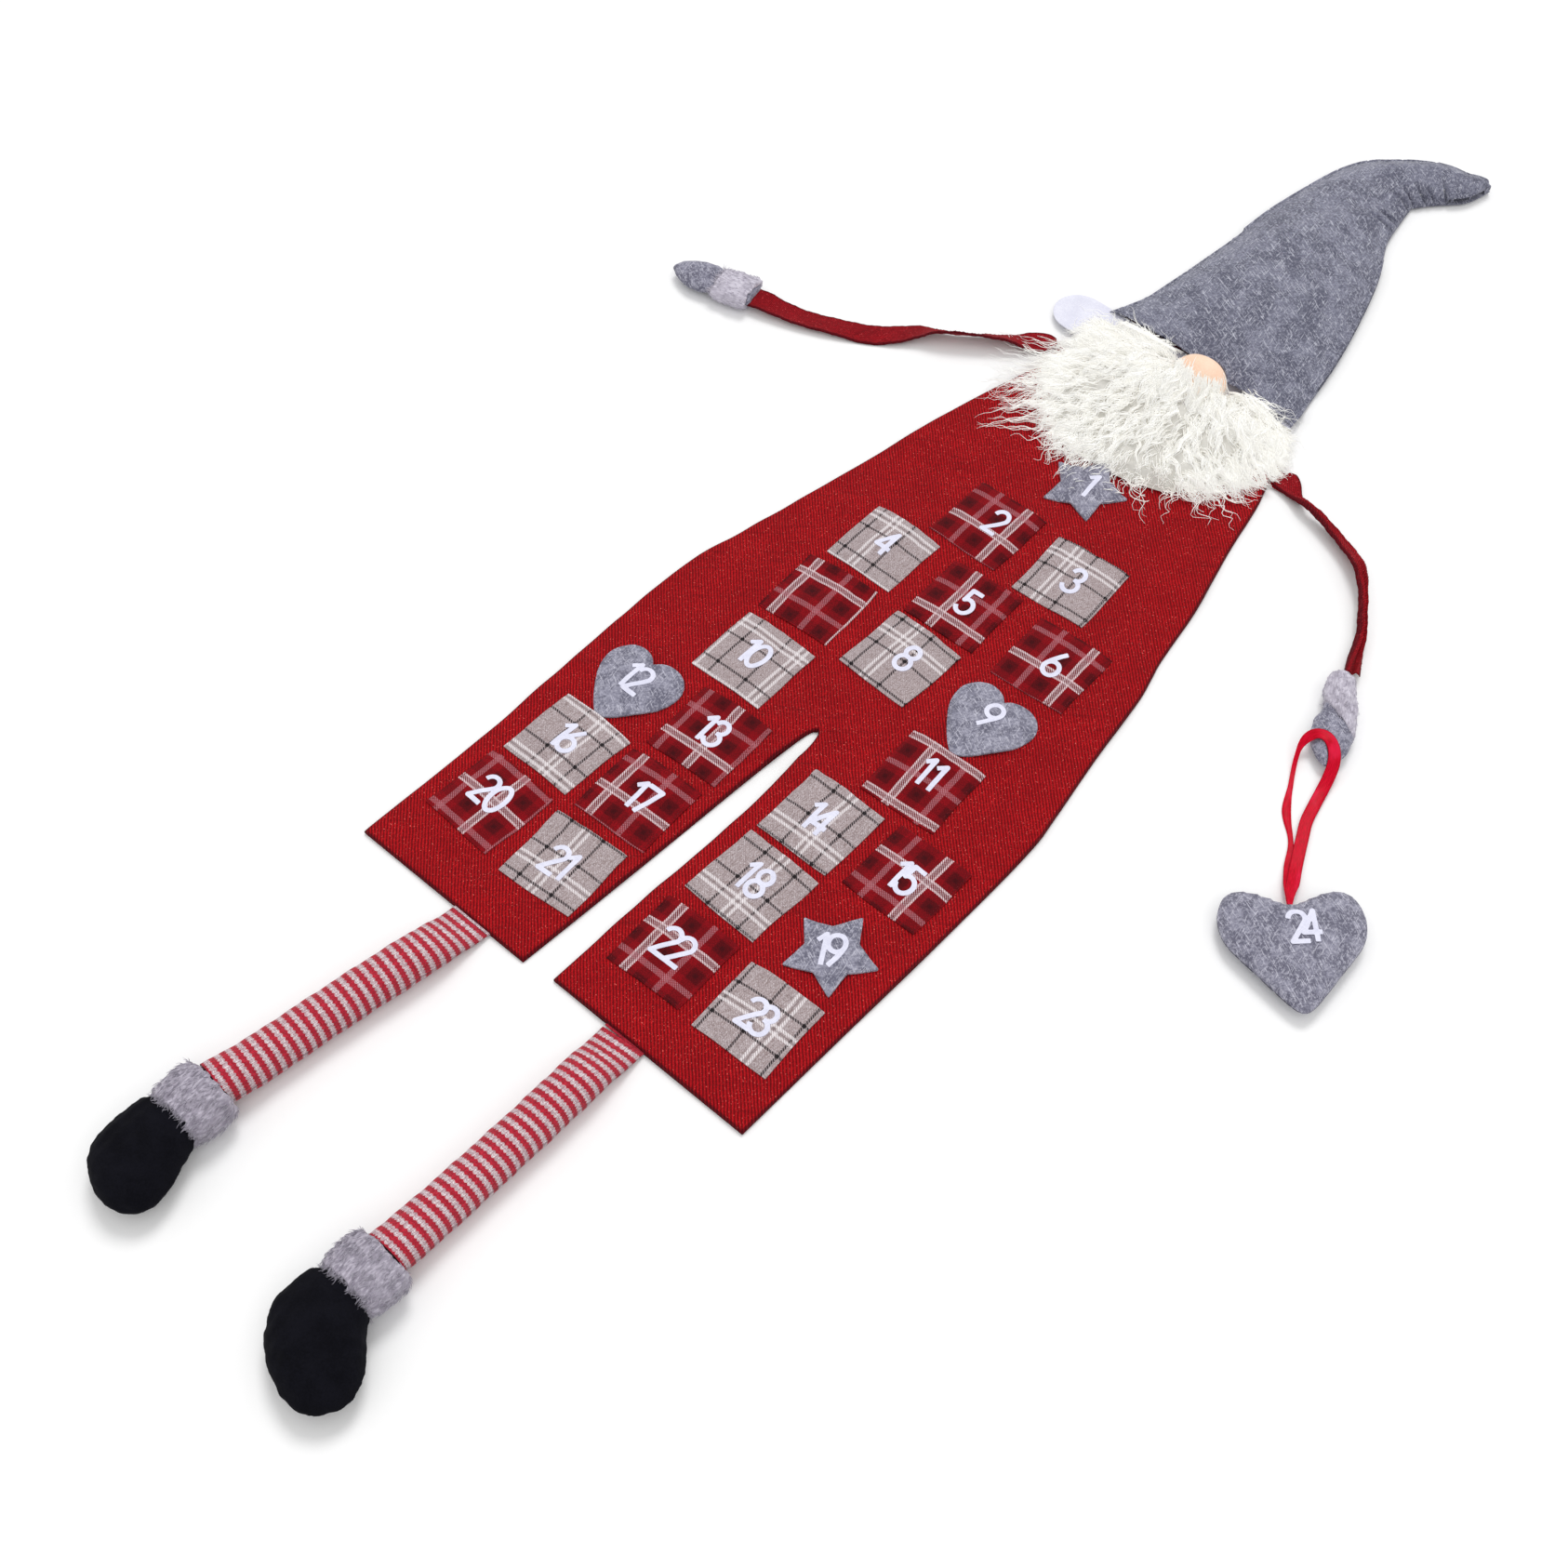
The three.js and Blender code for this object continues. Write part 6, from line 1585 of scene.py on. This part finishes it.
MITTEN_CUFF, BOOT_CUFF = 38.0, 37.0     # the plush bands' lengths
ANKLES = {"left": np.array([-101.042, -628.45, 20.0]), "right": np.array([84.982, -634.45, 20.0])}
for side, mitten_shape, cuff_shape in (("left", peaked, None), ("right", drawn_in, slanted)):
    hand, foot = f"{side}_hand", f"{side}_foot"
    felt_form(f"{side}_mitten_felt", f"{side}_mitten", hand, FELT, 1.1, 8, 0.7, 0.3, 3,
              shape=mitten_shape)
    start, ahead = WRISTS[side]
    plush_cuff(f"{side}_mitten_cuff_plush", f"{side}_mitten_cuff", hand, start, start + ahead * MITTEN_CUFF,
               1500, 260, (1.6, 3.4), cuff_shape, (PALE_PLUSH, PALE_PILE))
    felt_form(f"{side}_boot_felt", f"{side}_boot", foot, BLACK, 1.8, 10, 0.5, 0.35, 5)
    ankle = ANKLES[side]
    plush_cuff(f"{side}_boot_cuff_plush", f"{side}_boot_cuff", foot, ankle, ankle + (0, -BOOT_CUFF, 0),
               2600, 420, (3.0, 6.5))


# Legs: knit tubes. Sections come from the CAD form, cut across.

def cuts(node, count):
    """Centre, half width and half height of a form at even steps along y, with its ends."""
    co, tris = cad(node)
    lo, hi = co[:, 1].min(), co[:, 1].max()
    ys = np.linspace(hi - 0.01, lo + 0.01, count)
    rows = []
    p = co[tris]
    edges = np.concatenate([p[:, [0, 1]], p[:, [1, 2]], p[:, [2, 0]]])
    y0, y1 = edges[:, 0, 1], edges[:, 1, 1]
    for y in ys:
        over = (np.minimum(y0, y1) <= y) & (np.maximum(y0, y1) >= y) & (y0 != y1)
        e = edges[over]
        t = ((y - e[:, 0, 1]) / (e[:, 1, 1] - e[:, 0, 1]))[:, None]
        q = e[:, 0] + t * (e[:, 1] - e[:, 0])
        rows.append([(q[:, 0].min() + q[:, 0].max()) / 2, y, (q[:, 2].min() + q[:, 2].max()) / 2,
                     (q[:, 0].max() - q[:, 0].min()) / 2, (q[:, 2].max() - q[:, 2].min()) / 2])
    return np.array(rows)


def blurred(values, width):
    """Values along a line, evened out over width rows, ends kept."""
    kernel = np.exp(-(np.arange(-3 * width, 3 * width + 1) / width) ** 2 / 2)
    kernel /= kernel.sum()
    pad = 3 * width
    before, after = 2 * values[0] - values[pad:0:-1], 2 * values[-1] - values[-2:-pad - 2:-1]
    full = np.concatenate([before, values, after])
    return np.convolve(full, kernel, "valid")


LEG_SIDES = 56


def leg(side):
    """A knit tube over the CAD leg's sections, a little squared and lumpy."""
    rows = cuts(f"{side}_leg", 150)
    for k in (0, 2, 3, 4):
        rows[:, k] = blurred(rows[:, k], 5)
    run = way_along(rows[:, :2])
    slope = np.gradient(rows[:, 0], rows[:, 1])
    around = np.linspace(0, 2 * math.pi, LEG_SIDES, endpoint=False)
    squared = lambda c: np.sign(c) * np.abs(c) ** 0.86
    rings, cloth = [], []
    phase = 2.0 if side == "left" else 6.0
    for i, (x, y, z, half, rise) in enumerate(rows):
        s = run[i]
        soft = smoothstep(s, 5, 30) * smoothstep(run[-1] - s, 0, 12)
        lumps = 0.012 * np.sin(s * 0.16 + 2 * np.sin(around + phase))
        lumps = 1 + soft * (lumps + 0.01 * np.sin(s * 0.36 + 3 * around + phase))
        dx = squared(np.cos(around)) * half * lumps
        dz = squared(np.sin(around)) * rise * lumps
        dy = -slope[i] * dx
        rings.append(np.stack([x + dx, y + dy, np.maximum(z + dz, 0.12)], 1))
        girth = 2 * math.pi * math.sqrt((half ** 2 + max(rise, 6.0) ** 2) / 2)
        u = (around / (2 * math.pi) - 0.25) * girth
        cloth.append(np.column_stack([u, np.full(LEG_SIDES, s), np.full(LEG_SIDES, 5.0)]))
    verts, faces = sections_to_mesh(rings)
    obj = build(f"{side}_leg_knit", verts, faces, KNIT, np.concatenate(cloth), None, 60)
    keep(obj, f"{side}_leg", f"{side}_leg")


for side in ("left", "right"):
    leg(side)


# The hanging heart: two felt faces sewn together over a stuffing, with its own number

def heart_relief(points, distance):
    """Puckers along the seam, a flat felt rim outside it, and soft lumps."""
    rim = np.exp(-((distance - 2.2) / 0.8) ** 2)
    return (0.3 * waves(points, 24, 51) + 0.2 * waves(points, 9, 52)) * smoothstep(distance, 2, 9) - 0.5 * rim


HEART_NUMBER = np.array([388.03, -4.0]) + (8.6, 0.1)
HEART_EDGE = (0.4, 1.2, 2.2, 3.4, 5.0)
height = caster("heart_front")
number = number_parts("24", 27.0, HEART_NUMBER, 45.0, lambda q: height(q) + 0.15, 1)
domed("heart_front_felt", "heart_front", FELT, "heart", 2.6, HEART_EDGE, 12, heart_relief,
      extra=[number], materials=[FILM])
domed("heart_back_felt", "heart_back", FELT, "heart", 3.0, HEART_EDGE, 12, None)
domed("heart_stuffing_pad", "heart_stuffing", PADDING, "heart", 6.0, (1.0, 3.0), 6, None,
      0.8)


# Beard: locks of long curly hair. Roots in plan, drawn down and outwards.

HAT_TOP = caster("hat_front")
NOSE_LOW = 6.8             # the nose's lowest point
FOLD = 390.0               # the backing's fold line
BRIM = 421.0


def beard_envelope(x, y):
    """How high the hair lies: a thick mass under the nose that thins to its edges."""
    q = np.abs((x + 8) / 116) ** 2.6 + np.abs((y - 348) / 88) ** 2.6
    lying = 7.0 + 20.0 * np.sqrt(np.clip(1 - q, 0, 1))
    under_nose = 13.0 * np.exp(-((x - 2) / 42) ** 2 - ((y - 394) / 17) ** 2)
    lying = lying * (1 - 0.42 * smoothstep(y, 388, 414))
    brim = 5.0 * np.exp(-((y - 414) / 12) ** 2) * np.clip(1 - np.abs((x + 8) / 112) ** 6, 0, 1)
    return np.maximum(lying + under_nose + brim, 7.5)


def lowest(x, y):
    """The lowest that a hair may lie at places in plan."""
    off_body = np.abs(x) > 118 - 0.16 * (y - 300)
    low = np.where(off_body, 1.2, LOCK_FLOOR)
    out = ((x - NOSE_AT[0]) / NOSE_WIDE) ** 2 + ((y - NOSE_AT[1]) / NOSE_DEEP) ** 2
    middle_height, half_height = (NOSE_TOP + NOSE_LOW) / 2, (NOSE_TOP - NOSE_LOW) / 2
    ball = middle_height + half_height * np.sqrt(np.clip(1 - out, 0, 1)) + 1.2
    low = np.where(out < 1, np.maximum(low, ball), low)
    over = y > BRIM - 1
    if over.any():
        spots = np.stack([x[over], y[over]], 1)
        low[over] = np.maximum(low[over], HAT_TOP(spots) + 0.9)
    return low


# The dense hair's outline in plan, as in the photo's view
MASS = np.array([(-118, 417), (-85, 423), (-37, 423), (-22, 410), (4, 400), (26, 414), (42, 421), (62, 419),
                 (94, 406), (112, 378), (112, 356), (102, 334), (79, 307), (54, 299), (10, 285), (-22, 272),
                 (-57, 266), (-87, 290), (-113, 333), (-122, 374)], float)
LOCK_POINTS = 17
LOCK_FLOOR = 6.7           # the hair lies on the cloth at this height
HAIR_RADIUS = 0.5
NAP_LOW = 6.9              # the nap's lower face


def trimmed(path, allow):
    """A strand cut where it has come further than that out of the dense hair's outline."""
    plan = path[:, :2]
    gone = ~inside(plan, [MASS]) & (edge_distance(plan, [MASS]) > allow) & (np.arange(len(path)) > 2)
    if not gone.any():
        return path
    return resampled(path, max(0.12, (int(np.argmax(gone)) - 0.5) / (len(path) - 1)))


def locks(roots, length, seed, heading, rise=1.0, each=10, loose=0.15, curl=1.0, jitter=14.0,
          thick=(0.6, 1.0), root_spread=3.0, over=5.0):
    """Strands in curled clumps from roots in plan: their paths, shades and thicknesses. heading gives
    degrees from straight down the body, and over is how far strands come out of the dense hair."""
    draw = np.random.default_rng(seed)
    n = len(roots)
    start = np.radians(heading(roots) + draw.normal(0, jitter, n))
    reach = length * draw.uniform(0.72, 1.2, n)
    bend = draw.normal(0, 0.6, n)
    size = draw.uniform(1.2, 3.6, n) * curl
    period, phase = draw.uniform(13, 25, n), draw.uniform(0, 2 * math.pi, n)
    layer = draw.uniform(0.35, 1.0, n) * rise
    paths, shades = [], []
    t = np.linspace(0, 1, LOCK_POINTS)
    for k in range(n):
        way = start[k] + bend[k] * t ** 1.5
        step = reach[k] / (LOCK_POINTS - 1)
        cx = roots[k, 0] + np.concatenate([[0], np.cumsum(np.sin(way[1:]) * step)])
        cy = roots[k, 1] - np.concatenate([[0], np.cumsum(np.cos(way[1:]) * step)])
        angle = phase[k] + 2 * math.pi * t * reach[k] / period[k]
        sway = size[k] * np.minimum(1, t * 3)
        side = np.stack([np.cos(way), np.sin(way)], 1)
        lie = (beard_envelope(cx, cy) - LOCK_FLOOR) * layer[k]
        lie = LOCK_FLOOR + lie * np.sin(np.minimum(1, t * 2.6 + 0.3) * math.pi / 2)
        fall = smoothstep(t, 0.6, 1.0)
        lie = lie * (1 - 0.4 * fall) + 0.4 * fall * (LOCK_FLOOR + 1.5)
        for _ in range(each):
            gather = 1 - (1 - loose) * t[:, None] ** 0.7
            off = draw.normal(0, root_spread, 2) * gather
            own = draw.uniform(0.6, 1.25)
            wobble = draw.normal(0, 0.5)
            x = cx + off[:, 0] + side[:, 0] * sway * np.cos(angle + wobble) * own
            y = cy + off[:, 1] + side[:, 1] * sway * np.cos(angle + wobble) * own
            z = lie + sway * 0.8 * np.sin(angle + wobble) * own + draw.normal(0, 0.8)
            path = np.stack([x, y, np.maximum(z, lowest(x, y))], 1)
            allow = abs(draw.normal(0, over))
            paths.append(trimmed(resampled(path, draw.uniform(0.75, 1.0)), allow))
            shades.append(np.clip(draw.normal(0.55, 0.3), 0, 1))
    return np.array(paths), np.array(shades), draw.uniform(*thick, len(paths))


def resampled(path, share):
    """The first share of a path, with as many points."""
    n = len(path)
    at = np.linspace(0, (n - 1) * share, n)
    return np.stack([np.interp(at, np.arange(n), path[:, k]) for k in range(3)], 1)


def scattered(count, low, high, seed, keep_in=None):
    """Places in a box in plan, off the nose, and within a loop where one is given."""
    draw = np.random.default_rng(seed)
    spots = draw.uniform(low, high, (count * 4, 2))
    off = (spots - NOSE_AT) / (NOSE_WIDE, NOSE_DEEP)
    spots = spots[(np.hypot(*off.T) > 1) | (spots[:, 1] < NOSE_AT[1] - 12)]
    if keep_in is not None:
        spots = spots[inside(spots, keep_in)]
    return spots[:count]


def along(points, count, seed, spread=3.0):
    """Places along a line in plan."""
    draw = np.random.default_rng(seed)
    line = np.asarray(points, float)
    run = way_along(line)
    at = draw.uniform(0, run[-1], count)
    return np.stack([np.interp(at, run, line[:, k]) for k in (0, 1)], 1) + draw.normal(0, spread, (count, 2))


def fan(roots):
    """Hair falls away from under the nose, and further sideways towards the edges."""
    return 20.0 + 0.72 * roots[:, 0]


def towards(degrees):
    """Hair falls one way."""
    return lambda roots: np.full(len(roots), degrees)


def hair_piece(name, node, groups, base, crossing=None):
    """Groups of locks over their nap: attached to the flap, or, where a crossing is given, left unattached
    with its transform baked in.
    """
    paths, shades, thick = (np.concatenate(p) for p in zip(*groups))
    verts, faces, cloth = strands(paths, HAIR_RADIUS * thick, 0.3, 3, shades)
    verts, faces, coords, which = joined((verts, faces, cloth, 0), base)
    obj = build(name, verts, faces, [BEARD, NAP], coords, which, None)
    if crossing:
        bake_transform(obj)
    else:
        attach(obj, "beard_flap")
    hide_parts(node)
    return obj


def hair_base(node, inset, share, seed):
    """A thick nap under the long hair."""
    loop = rounded(outlines(node)[0], 5.0)
    centre = loop.mean(0)
    loop = centre + (loop - centre) * inset
    points, tris, distance = region([loop], 4.0, (0.8, 2.0, 4.0))
    room = beard_envelope(points[:, 0], points[:, 1]) - NAP_LOW
    high = NAP_LOW + room * share * smoothstep(distance, -1, 10)
    tufts = 1.2 * waves(points, 12, seed) + 0.8 * waves(points, 5, seed + 1)
    high = high + tufts * smoothstep(distance, 0, 5)
    verts, faces = shell(points, tris, np.maximum(high, NAP_LOW + 0.5), np.full(len(points), NAP_LOW))
    cloth = np.column_stack([np.full(len(verts), 0.5), np.full(len(verts), 0.5), verts[:, 0]])
    return verts, faces, cloth, 1


flap_loop = outlines("beard_fur_flap")[0]
middle = flap_loop.mean(0)
flap_inner = middle + (flap_loop - middle) * (0.94, 0.8) + (0, 9)
side_edge = [(-84, 388), (-98, 366), (-96, 340), (-78, 312), (-56, 296)]
low_edge = [(-60, 298), (-34, 288), (-6, 284), (24, 288), (52, 298), (74, 316)]
right_edge = [(74, 316), (90, 340), (94, 366), (88, 386)]
flap_hair = [
    locks(scattered(330, (-112, 270), (104, 389), 61, [flap_inner]), 50.0, 62, fan),
    locks(along([(-96, 384), (-50, 388), (0, 386), (50, 388), (90, 384)], 90, 67, 4.0), 44.0, 68, fan, 1.0),
    locks(along(low_edge, 46, 71, 5.0), 40.0, 63, fan, 0.5, 7, loose=0.3, curl=1.3, jitter=24.0, over=11.0),
    locks(along(low_edge, 30, 76, 6.0), 60.0, 77, fan, 0.5, 4, loose=0.5, curl=2.0, jitter=34.0,
          thick=(0.8, 1.2), over=40.0),
    locks(along(side_edge, 44, 72, 5.0), 76.0, 64, towards(-52.0), 0.45, 6, loose=0.35, curl=0.8, jitter=14.0,
          thick=(0.5, 0.9), over=46.0),
    locks(along(right_edge, 12, 73, 4.0), 34.0, 65, towards(80.0), 0.45, 6, loose=0.35, jitter=16.0,
          over=8.0),
]
nap = hair_base("beard_fur_flap", 0.84, 0.6, 71)
flap_fur = hair_piece("beard_flap_hair", "beard_fur_flap", flap_hair, nap)
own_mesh(flap_fur)
# Each side's box of roots, their count, the way its brim hair falls, and its lines along the brim and nose
SIDES = {
    "left": ((-110, 392), (-8, 410), 110, -76.0, [(-112, 415), (-86, 420), (-40, 420), (-26, 413)],
             [(-20, 399), (-12, 393), (2, 389)]),
    "right": ((10, 392), (94, 408), 90, 92.0, [(26, 411), (44, 418), (64, 416), (92, 403)],
              [(6, 389), (18, 392), (28, 398)]),
}
for side, (low, high, count, outward, brim_line, under_nose) in SIDES.items():
    top_hair = [
        locks(scattered(count, low, high, 64 + count), 38.0, 65 + count, fan, 0.95),
        locks(along(brim_line, count // 2, 90 + count, 2.0), 38.0, 66 + count, towards(outward), 0.95,
              curl=0.8, jitter=16.0),
        locks(along(under_nose, 26, 93 + count, 1.2), 34.0, 69 + count, fan, 1.0, curl=0.7, jitter=20.0,
              root_spread=1.6),
        locks(along(brim_line, 16, 91 + count, 2.0), 40.0, 68 + count, towards(outward * 1.3), 1.0, 5,
              loose=0.4, curl=0.9, jitter=22.0, thick=(0.4, 0.7), over=13.0),
    ]
    nap = hair_base(f"beard_fur_{side}", 0.9, 0.55, 73)
    hair_piece(f"beard_{side}_hair", f"beard_fur_{side}", top_hair, nap,
               ("body", "beard_flap", (0, (FOLD + 6) * MM, 0.0065), (0, (FOLD - 10) * MM, 0.0065)))


# Floor and light

def plane(name, size, height):
    mesh = bpy.data.meshes.new(name)
    half = size / 2
    corners = [(-half, -half, height), (half, -half, height), (half, half, height), (-half, half, height)]
    mesh.from_pydata(corners, [], [(0, 1, 2, 3)])
    obj = bpy.data.objects.new(name, mesh)
    bpy.context.scene.collection.objects.link(obj)
    return obj


floor = plane("floor", 30.0, -0.0004)
g = Graph("floor", rough=1.0, specular=0.0)
ray = g.node("ShaderNodeLightPath")
g.colour(g.mix(g.math("MAXIMUM", ray.outputs["Is Camera Ray"], ray.outputs["Is Glossy Ray"]),
               (0.72, 0.72, 0.73, 1), (1.0, 1.0, 1.0, 1)))
floor.data.materials.append(g.material)

world = bpy.data.worlds.new("studio")
world.use_nodes = True
sky = world.node_tree.nodes["Background"]
sky.inputs["Color"].default_value = (1, 1, 1, 1)
sky.inputs["Strength"].default_value = 0.72
bpy.context.scene.world = world
SUNS = (("key", (0.25, -0.45, -0.85), 1.0, 24.0), ("fill", (-0.5, 0.3, -0.8), 0.35, 50.0))
for name, way, strength, spread in SUNS:
    lamp = bpy.data.lights.new(name, "SUN")
    lamp.energy = strength
    lamp.angle = math.radians(spread)
    holder = bpy.data.objects.new(name, lamp)
    holder.rotation_mode = "QUATERNION"
    holder.rotation_quaternion = Vector(way).to_track_quat("-Z", "Y")
    bpy.context.scene.collection.objects.link(holder)
bpy.context.scene.view_settings.view_transform = "Standard"
